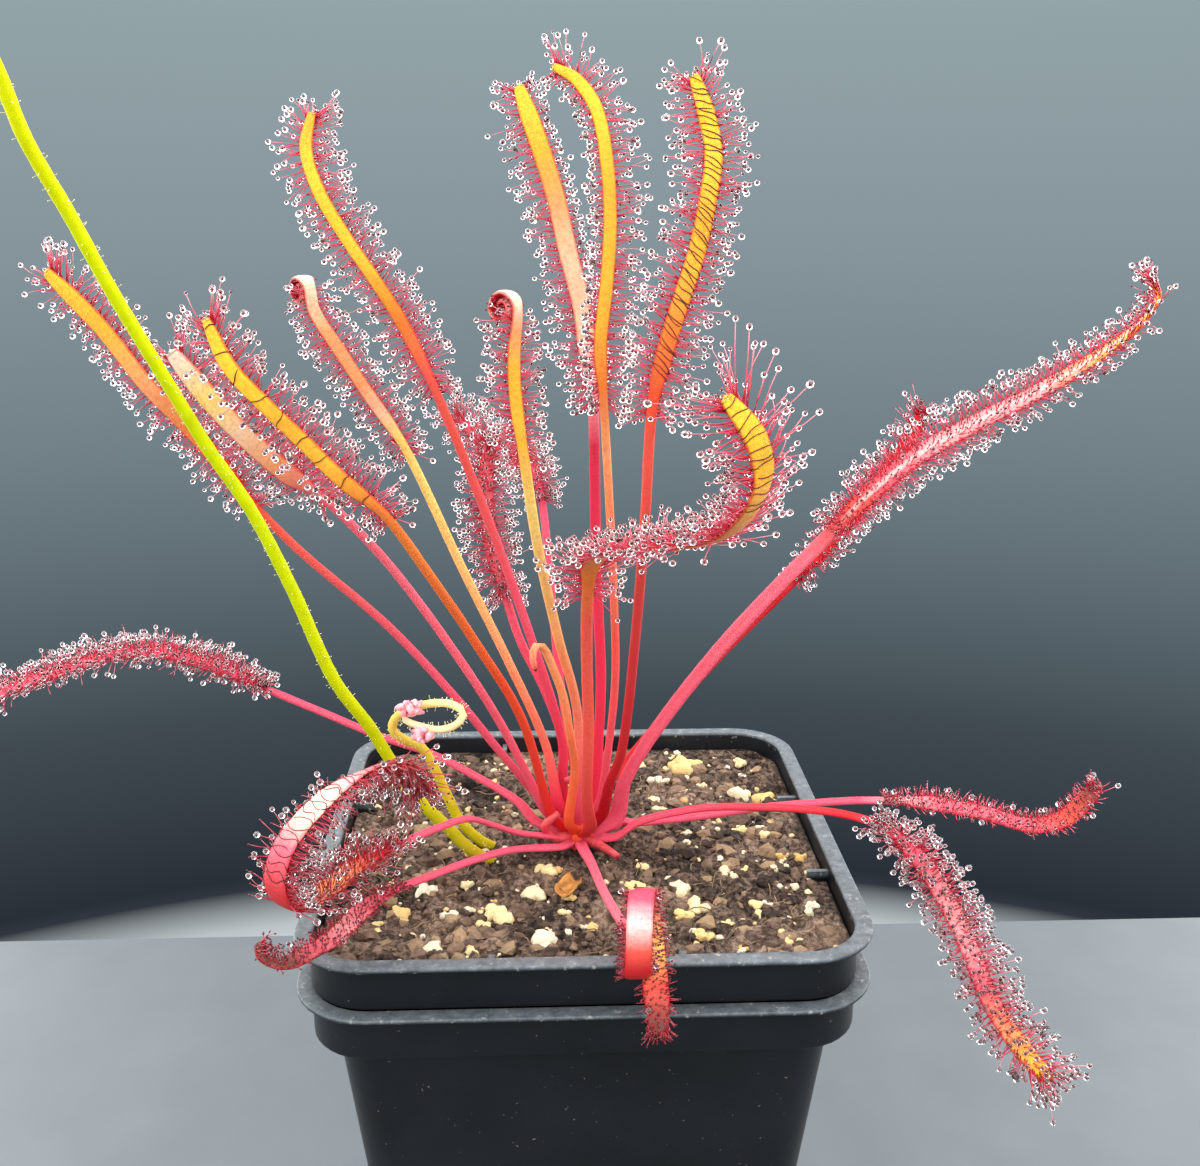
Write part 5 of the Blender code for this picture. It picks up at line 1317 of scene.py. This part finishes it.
def peat_material(name, with_tone):
    """Moist peat: dark and lighter brown patches, crumbly relief and a few glints."""
    peat = Surface(name, 0.85, Specular_IOR_Level=0.25)
    patches = peat.noise(70.0, 5.0, 0.6)
    grain = peat.noise(900.0, 6.0, 0.7)
    dark = peat.ramp(patches,
                     [(0.36, srgb(20, 17, 16)), (0.5, srgb(56, 43, 37)), (0.64, srgb(108, 86, 73))])
    light = peat.ramp(patches, [(0.34, srgb(72, 56, 48)), (0.66, srgb(172, 147, 126))])
    colour = peat.mix(peat.fade(grain, 0.42, 0.64), dark, light)
    if with_tone:
        tone = peat.ramp(peat.stored("tone"),
                         [(0.1, srgb(24, 19, 18)), (0.45, srgb(80, 61, 51)), (0.8, srgb(138, 113, 94)),
                          (1.0, srgb(182, 152, 114))])
        colour = peat.mix(0.6, colour, tone)
    peat.colour(colour)
    peat.bump(grain, 0.5)
    return peat.material


def perlite_material():
    """Porous white to golden lumps, stained by the peat."""
    perlite = Surface("perlite", 0.8, Subsurface_Weight=0.15, Subsurface_Scale=0.5 * MM)
    tone = perlite.ramp(perlite.stored("tone"),
                        [(0.0, srgb(226, 217, 194)), (0.4, srgb(232, 214, 172)),
                         (0.75, srgb(236, 208, 146)), (1.0, srgb(214, 170, 98))])
    stain = perlite.fade(perlite.noise(500.0, 5.0, 0.65), 0.56, 0.74)
    colour = perlite.mix(perlite.product(stain, 0.6), tone, srgb(150, 105, 62))
    perlite.colour(colour)
    perlite.bump(perlite.noise(1100.0, 4.0, 0.6), 0.35)
    perlite.bump(perlite.noise(420.0, 3.0, 0.6), 0.9)
    return perlite.material


def tube_along(route, radii, sides, gap, rng, unevenness):
    """Rings of points of a round stem along a route, with the distance of each ring."""
    stations = np.linspace(0.0, route.length, max(3, int(route.length / gap)))
    tangent = route.tangent(stations)
    turned = np.empty_like(tangent)
    current = np.cross((0.0, 0.0, 1.0), tangent[0])
    if np.linalg.norm(current) < 0.2:
        current = np.array((1.0, 0.0, 0.0))
    for index, direction in enumerate(tangent):
        current = unit(current - direction * current.dot(direction))
        turned[index] = current
    second = np.cross(tangent, turned)
    radius = np.interp(stations, np.linspace(0, route.length, len(radii)), radii)
    radius = radius * (1 + unevenness * rng.uniform(-1, 1, len(radius)))
    angles = 2 * np.pi * np.arange(sides)[None, :, None] / sides
    outward = turned[:, None, :] * np.cos(angles) + second[:, None, :] * np.sin(angles)
    return route.at(stations)[:, None, :] + radius[:, None, None] * outward, stations


def bud(base, direction, size):
    """A nodding bud wrapped in its sepals."""
    direction = unit(np.asarray(direction, float))
    first, second = side_frame(direction)
    heights, widths = np.array(BUD_PROFILE).T
    angles = 2 * np.pi * np.arange(BUD_SIDES) / BUD_SIDES
    ribs = 1 + 0.08 * np.cos(5 * angles)
    rings = (base + direction * heights[:, None, None] * BUD_HALF_LENGTH * size
             + (first * np.cos(angles)[:, None] + second * np.sin(angles)[:, None])[None]
             * (widths[:, None, None] * ribs[None, :, None] * BUD_HALF_WIDTH * size))
    return closed_tube(rings)


def hairs(route, radius, count, rng):
    """Fine glandular hairs round a stem: stalks and their heads."""
    distance = rng.uniform(HAIRS_FROM, route.length, count)
    tangent = route.tangent(distance)
    first, second = side_frame(tangent)
    turn = rng.uniform(0, 2 * math.pi, count)[:, None]
    lean = tangent * rng.uniform(-0.2, 0.3, (count, 1))
    outward = unit(first * np.cos(turn) + second * np.sin(turn) + lean)
    foot = route.at(distance) + outward * (radius - 0.1)
    length = rng.uniform(*HAIR_LENGTHS, (count, 1))
    lines = np.stack([foot, foot + outward * length * 0.5, foot + outward * length], axis=1)
    points, quads, caps = stalk_mesh(lines, np.array(HAIR_RADII))
    places = lines[:, -1][:, None, :] + BALL_ROUGH[0][None] * HAIR_HEAD_RADIUS
    heads, head_faces = copies(BALL_ROUGH, places)
    return merged([(points, [quads, caps]), (heads, [head_faces])])


def nodding_buds(route, count, length):
    """Buds in two rows along a stem's end: foot, direction and size of each."""
    buds = []
    for number in range(count):
        share = number / (count - 1)
        distance = np.array([route.length - length * (1 - share)])
        tangent = route.tangent(distance)[0]
        outward = np.array((0.0, 0.0, 1.0)) - tangent * tangent[2]
        sideways = np.cross(tangent, outward) * (0.8 if number % 2 else -0.8)
        buds.append((route.at(distance)[0], outward + sideways + tangent * 0.5, 1.0 - 0.4 * share))
    return buds


def clustered_buds(rng):
    """Small buds crowded in the young stem's clusters: foot, direction and size of each."""
    buds = []
    for centre in YOUNG_BUD_CLUSTERS:
        for _ in range(YOUNG_CLUSTER_BUDS):
            outward, direction = unit(rng.normal(size=(2, 3)))
            size = rng.uniform(*YOUNG_BUD_SIZES)
            middle = centre + outward * YOUNG_CLUSTER_REACH * YOUNG_CLUSTER_FILL
            buds.append((middle - direction * BUD_HALF_LENGTH * size, direction, size))
    return buds


def make_flower_stem(node, route, radii, buds, hair_count, rng, materials):
    """A leafless stem with its buds and fine hairs, whose materials come in that order."""
    rings, stations = tube_along(route, radii, STEM_SIDES, STEM_RING_GAP, rng, STEM_UNEVENNESS)
    points, faces = closed_tube(rings)
    piece = make_piece(node + "_stalk", points, faces, materials[0])
    add_values(piece, "along", np.repeat(stations / route.length, STEM_SIDES))
    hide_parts(node)
    points, faces = merged([bud(*place) for place in buds])
    piece = make_piece(node + "_buds", points, faces, materials[1])
    points, faces = hairs(route, (radii[0] + radii[1]) / 2, hair_count, rng)
    piece = make_piece(node + "_hairs", points, faces, materials[2])


def stem_material(name, colours):
    """Waxy green stem, streaked along and paler towards its tip."""
    stem = Surface(name, 0.55, Subsurface_Weight=0.1, Subsurface_Scale=0.6 * MM, Specular_IOR_Level=0.1)
    along = stem.ramp(stem.stored("along"), evenly(colours, 0.0, 1.0))
    mottle = stem.noise(420.0, 4.0, 0.6)
    stem.colour(stem.mix(stem.fade(mottle, 0.4, 0.75), along, stem.mix(0.25, along, srgb(140, 150, 0))))
    stem.bump(mottle, 0.03)
    return stem.material


def plain_material(name, low, high, scale, roughness, depth=0.1):
    """Mottled surface between two colours with a fine relief."""
    plain = Surface(name, roughness, Subsurface_Weight=0.1, Subsurface_Scale=0.4 * MM,
                    Specular_IOR_Level=0.3)
    value = plain.noise(scale, 4.0, 0.6)
    plain.colour(plain.ramp(value, [(0.32, low), (0.68, high)]))
    plain.bump(value, depth)
    return plain.material


CROWN_SPROUTS = {
    "old_stub_back": [(-1, 2.5, -1.5), (-3.4, 6.4, -0.8), (-4.8, 8.6, 0.4)],
    "old_stub_right": [(2, 2.5, -1.5), (5.4, 4.6, -0.8), (7.6, 6.2, -0.2)],
    "old_stub_front": [(1, -1, -2), (4.2, -5.4, -1.6), (6.4, -8.6, -1.6)],
    "young_roll": [(-0.2, 1.1, 0.4), (-0.3, 1.2, 5), (-0.5, 1.1, 7.3), (-1.3, 1, 8.8), (-2.6, 0.9, 8.4)],
    "cut_stub": [(-1.5, -0.5, -1.6), (-4.6, -3.2, -0.6), (-6.2, -4.2, 2.2), (-3.8, -3.6, 4.4)],
}


def make_crown(glow, stub):
    """The short red stem base that the petioles grow from, with stubs and the youngest leaf."""
    rng = np.random.default_rng(SEED + 300)
    heights, widths = np.array(CROWN_PROFILE).T
    angles = 2 * np.pi * np.arange(CROWN_SIDES) / CROWN_SIDES
    folds = 1 + CROWN_FOLD_DEPTH * np.cos(CROWN_FOLDS * angles[None, :] + heights[:, None] * 0.3)
    flat = np.stack([np.cos(angles), np.sin(angles)], -1)[None] * (widths[:, None] * folds)[..., None]
    upward = np.broadcast_to(heights[:, None, None], flat.shape[:2] + (1,))
    rings = CROWN + np.concatenate([flat, upward], -1)
    points, faces = closed_tube(rings)
    piece = make_piece("crown_base", points, faces, glow)
    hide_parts("crown")
    parts = []
    for route in CROWN_SPROUTS.values():
        rings, _ = tube_along(Route(route), STUB_RADII, 12, 0.6, rng, 0.05)
        parts.append(closed_tube(rings))
    points, faces = merged(parts)
    piece = make_piece("crown_stubs", points, faces, stub)


def make_dry_leaf(material):
    """A dried brown piece of leaf that lies on the soil in front of the crown."""
    columns, rows = 9, 12
    x, y = np.meshgrid(np.linspace(-1, 1, columns), np.linspace(-1, 1, rows), indexing="ij")
    width = DRY_LEAF_HALF_WIDTH * (1 - 0.45 * np.abs(y) ** 2.5)
    curl = 0.9 * x**2 + 0.35 * np.sin(4 * y + 2 * x)
    top = np.stack([x * width, y * DRY_LEAF_HALF_LENGTH, curl], -1).reshape(-1, 3)
    turn = Matrix.Rotation(math.radians(DRY_LEAF_TURN), 3, "Z")
    top = top @ np.array(turn).T + DRY_LEAF_PLACE
    count = len(top)
    grid = np.arange(count).reshape(columns, rows)
    quads = np.stack([grid[:-1, :-1], grid[1:, :-1], grid[1:, 1:], grid[:-1, 1:]], -1).reshape(-1, 4)
    rim = np.concatenate([grid[:, 0], grid[-1, 1:], grid[-2::-1, -1], grid[0, -2:0:-1]])
    following = np.roll(rim, -1)
    sides = np.stack([rim, rim + count, following + count, following], -1)
    points = np.vstack([top, top - (0, 0, DRY_LEAF_THICKNESS)])
    piece = make_piece("soil_dry_leaf", points, [quads, quads[:, ::-1] + count, sides], material)


def make_camera():
    """The camera at the photo's place and angle."""
    camera = bpy.data.cameras.new("camera")
    camera.sensor_width = SENSOR_WIDTH
    camera.lens = FOCAL_PIXELS * SENSOR_WIDTH / PHOTO_WIDTH
    camera.clip_start = 0.01
    camera.clip_end = 20.0
    yaw, pitch, roll = CAMERA_YAW, CAMERA_PITCH, CAMERA_ROLL
    forward = Vector((math.sin(yaw) * math.cos(pitch), math.cos(yaw) * math.cos(pitch), -math.sin(pitch)))
    right = Vector((math.cos(yaw), -math.sin(yaw), 0.0))
    up = right.cross(forward)
    rolled_right = right * math.cos(roll) + up * math.sin(roll)
    rolled_up = up * math.cos(roll) - right * math.sin(roll)
    turn = Matrix((rolled_right, rolled_up, -forward)).transposed()
    place = (Vector(CAMERA_PLACE) + Vector((0, 0, RIM_Z))) * MM
    holder = bpy.data.objects.new("camera", camera)
    holder.matrix_world = Matrix.Translation(place) @ turn.to_4x4()
    bpy.context.scene.collection.objects.link(holder)
    bpy.context.scene.camera = holder
    bpy.context.scene.view_settings.view_transform = "Standard"


def soft_panel(name, azimuth, elevation, distance, width, height, radiance):
    """A large soft light that faces the plant and that the camera doesn't see."""
    turn, rise = math.radians(azimuth), math.radians(elevation)
    outward = Vector((math.sin(turn) * math.cos(rise), math.cos(turn) * math.cos(rise), math.sin(rise)))
    light = bpy.data.lights.new(name, "AREA")
    light.shape = "RECTANGLE"
    light.size = width
    light.size_y = height
    light.energy = radiance * math.pi * width * height
    holder = bpy.data.objects.new(name, light)
    holder.location = Vector(LIT_POINT) + outward * distance
    holder.rotation_euler = (-outward).to_track_quat("-Z", "Y").to_euler()
    holder.visible_camera = False
    bpy.context.scene.collection.objects.link(holder)


def make_world():
    """Cool grey studio surroundings, dark low down and lighter upwards."""
    world = bpy.data.worlds.new("studio")
    world.use_nodes = True
    bpy.context.scene.world = world
    nodes = Nodes(world.node_tree)
    direction = nodes.add("SeparateXYZ", {0: nodes.add("TexCoord").outputs["Generated"]}).outputs["Z"]
    height = nodes.add("MapRange", {"Value": direction, "From Min": -1.0}).outputs["Result"]
    background = nodes.tree.nodes["Background"]
    background.inputs["Strength"].default_value = 1.0
    nodes.put(background.inputs["Color"], nodes.ramp(height, SURROUNDINGS))


def make_floor():
    """A pale tabletop under the pot."""
    mesh = bpy.data.meshes.new("floor")
    corners = [(-FLOOR_HALF, -FLOOR_HALF, 0), (FLOOR_HALF, -FLOOR_HALF, 0), (FLOOR_HALF, FLOOR_BACK, 0),
               (-FLOOR_HALF, FLOOR_BACK, 0)]
    mesh.from_pydata(corners, [], [(0, 1, 2, 3)])
    floor = bpy.data.objects.new("floor", mesh)
    floor.location.z = -FLOOR_BELOW_POT
    bpy.context.scene.collection.objects.link(floor)
    surface = Surface("floor_surface", 0.4)
    surface.colour(surface.ramp(surface.noise(40.0), [(0.3, srgb(82, 88, 92)), (0.7, srgb(88, 94, 98))]))
    mesh.materials.append(surface.material)


def make_leaves():
    """Every leaf with its tentacles and drops."""
    fresh = stalk_material("tentacles_fresh", srgb(215, 45, 70), srgb(214, 68, 92), srgb(236, 150, 160),
                           srgb(120, 15, 35))
    aged = stalk_material("tentacles_aged", srgb(188, 38, 55), srgb(172, 42, 60), srgb(198, 98, 104),
                          srgb(100, 18, 30))
    wraps, dew = wrap_material(), dew_material()
    routes = []
    for index, leaf in enumerate(LEAVES):
        shape = LeafShape(leaf)
        make_skin(shape)
        if leaf.blade:
            make_tentacles(shape, index, aged if leaf.aged else fresh, dew)
            make_wraps(shape, index, wraps)
        routes.append(shape.route)
    return routes


def low_points(routes):
    """Points of leaves and stems that run low over the soil."""
    points = np.vstack([route.points[::4] for route in routes])
    return points[(points[:, 2] < 2.0) & (np.abs(points[:, :2]).max(axis=1) < FLANGE_HALF)]


make_camera()
make_world()
make_floor()
pot_plastic = pot_material()
make_pot("pot_outer", -BAND_HEIGHT - CAD_GAP, pot_plastic)
make_pot("pot_inner", 0.0, pot_plastic)
make_lugs(pot_plastic)
routes = make_leaves()
bud_skin = plain_material("bud_skin", srgb(225, 100, 125), srgb(250, 205, 205), 900.0, 0.5)
hair_skin = plain_material("stem_hairs", srgb(235, 228, 160), srgb(250, 245, 210), 300.0, 0.4)
lime = stem_material("stem_lime",
                     (srgb(178, 140, 40), srgb(190, 195, 5), srgb(200, 215, 0), srgb(215, 228, 0),
                      srgb(228, 230, 0), srgb(205, 190, 40)))
olive = stem_material("stem_olive",
                      (srgb(178, 140, 45), srgb(195, 180, 25), srgb(205, 180, 40), srgb(238, 205, 95),
                       srgb(252, 228, 160), srgb(250, 215, 175)))
tall = Route(TALL_STEM_ROUTE)
young = Route(YOUNG_STEM_ROUTE)
stem_rng = np.random.default_rng(SEED + 200)
tall_buds = nodding_buds(tall, TALL_STEM_BUDS, TALL_STEM_BUD_LENGTH)
make_flower_stem("flower_stem_tall", tall, TALL_STEM_RADII, tall_buds, TALL_STEM_HAIRS, stem_rng,
                 (lime, bud_skin, hair_skin))
young_buds = clustered_buds(stem_rng)
make_flower_stem("flower_stem_young", young, YOUNG_STEM_RADII, young_buds, YOUNG_STEM_HAIRS, stem_rng,
                 (olive, bud_skin, hair_skin))
routes += [tall, young]
make_crown(plain_material("crown_glow", srgb(205, 45, 35), srgb(240, 90, 50), 350.0, 0.45),
           plain_material("crown_stub_skin", srgb(185, 45, 62), srgb(215, 90, 92), 600.0, 0.45))
make_soil(peat_material("peat", False))
low_stems = low_points(routes)
litter_skin = peat_material("peat_crumbs", True)
litter_rng = np.random.default_rng(SEED + 100)
make_crumbs(low_stems, litter_skin, litter_rng)
make_perlite(low_stems, perlite_material(), litter_rng)
make_fibres(low_stems, litter_skin, litter_rng)
make_dry_leaf(plain_material("dry_leaf_skin", srgb(140, 88, 35), srgb(205, 145, 75), 700.0, 0.6, 0.3))
for name, values in PANELS.items():
    soft_panel(name, *values)
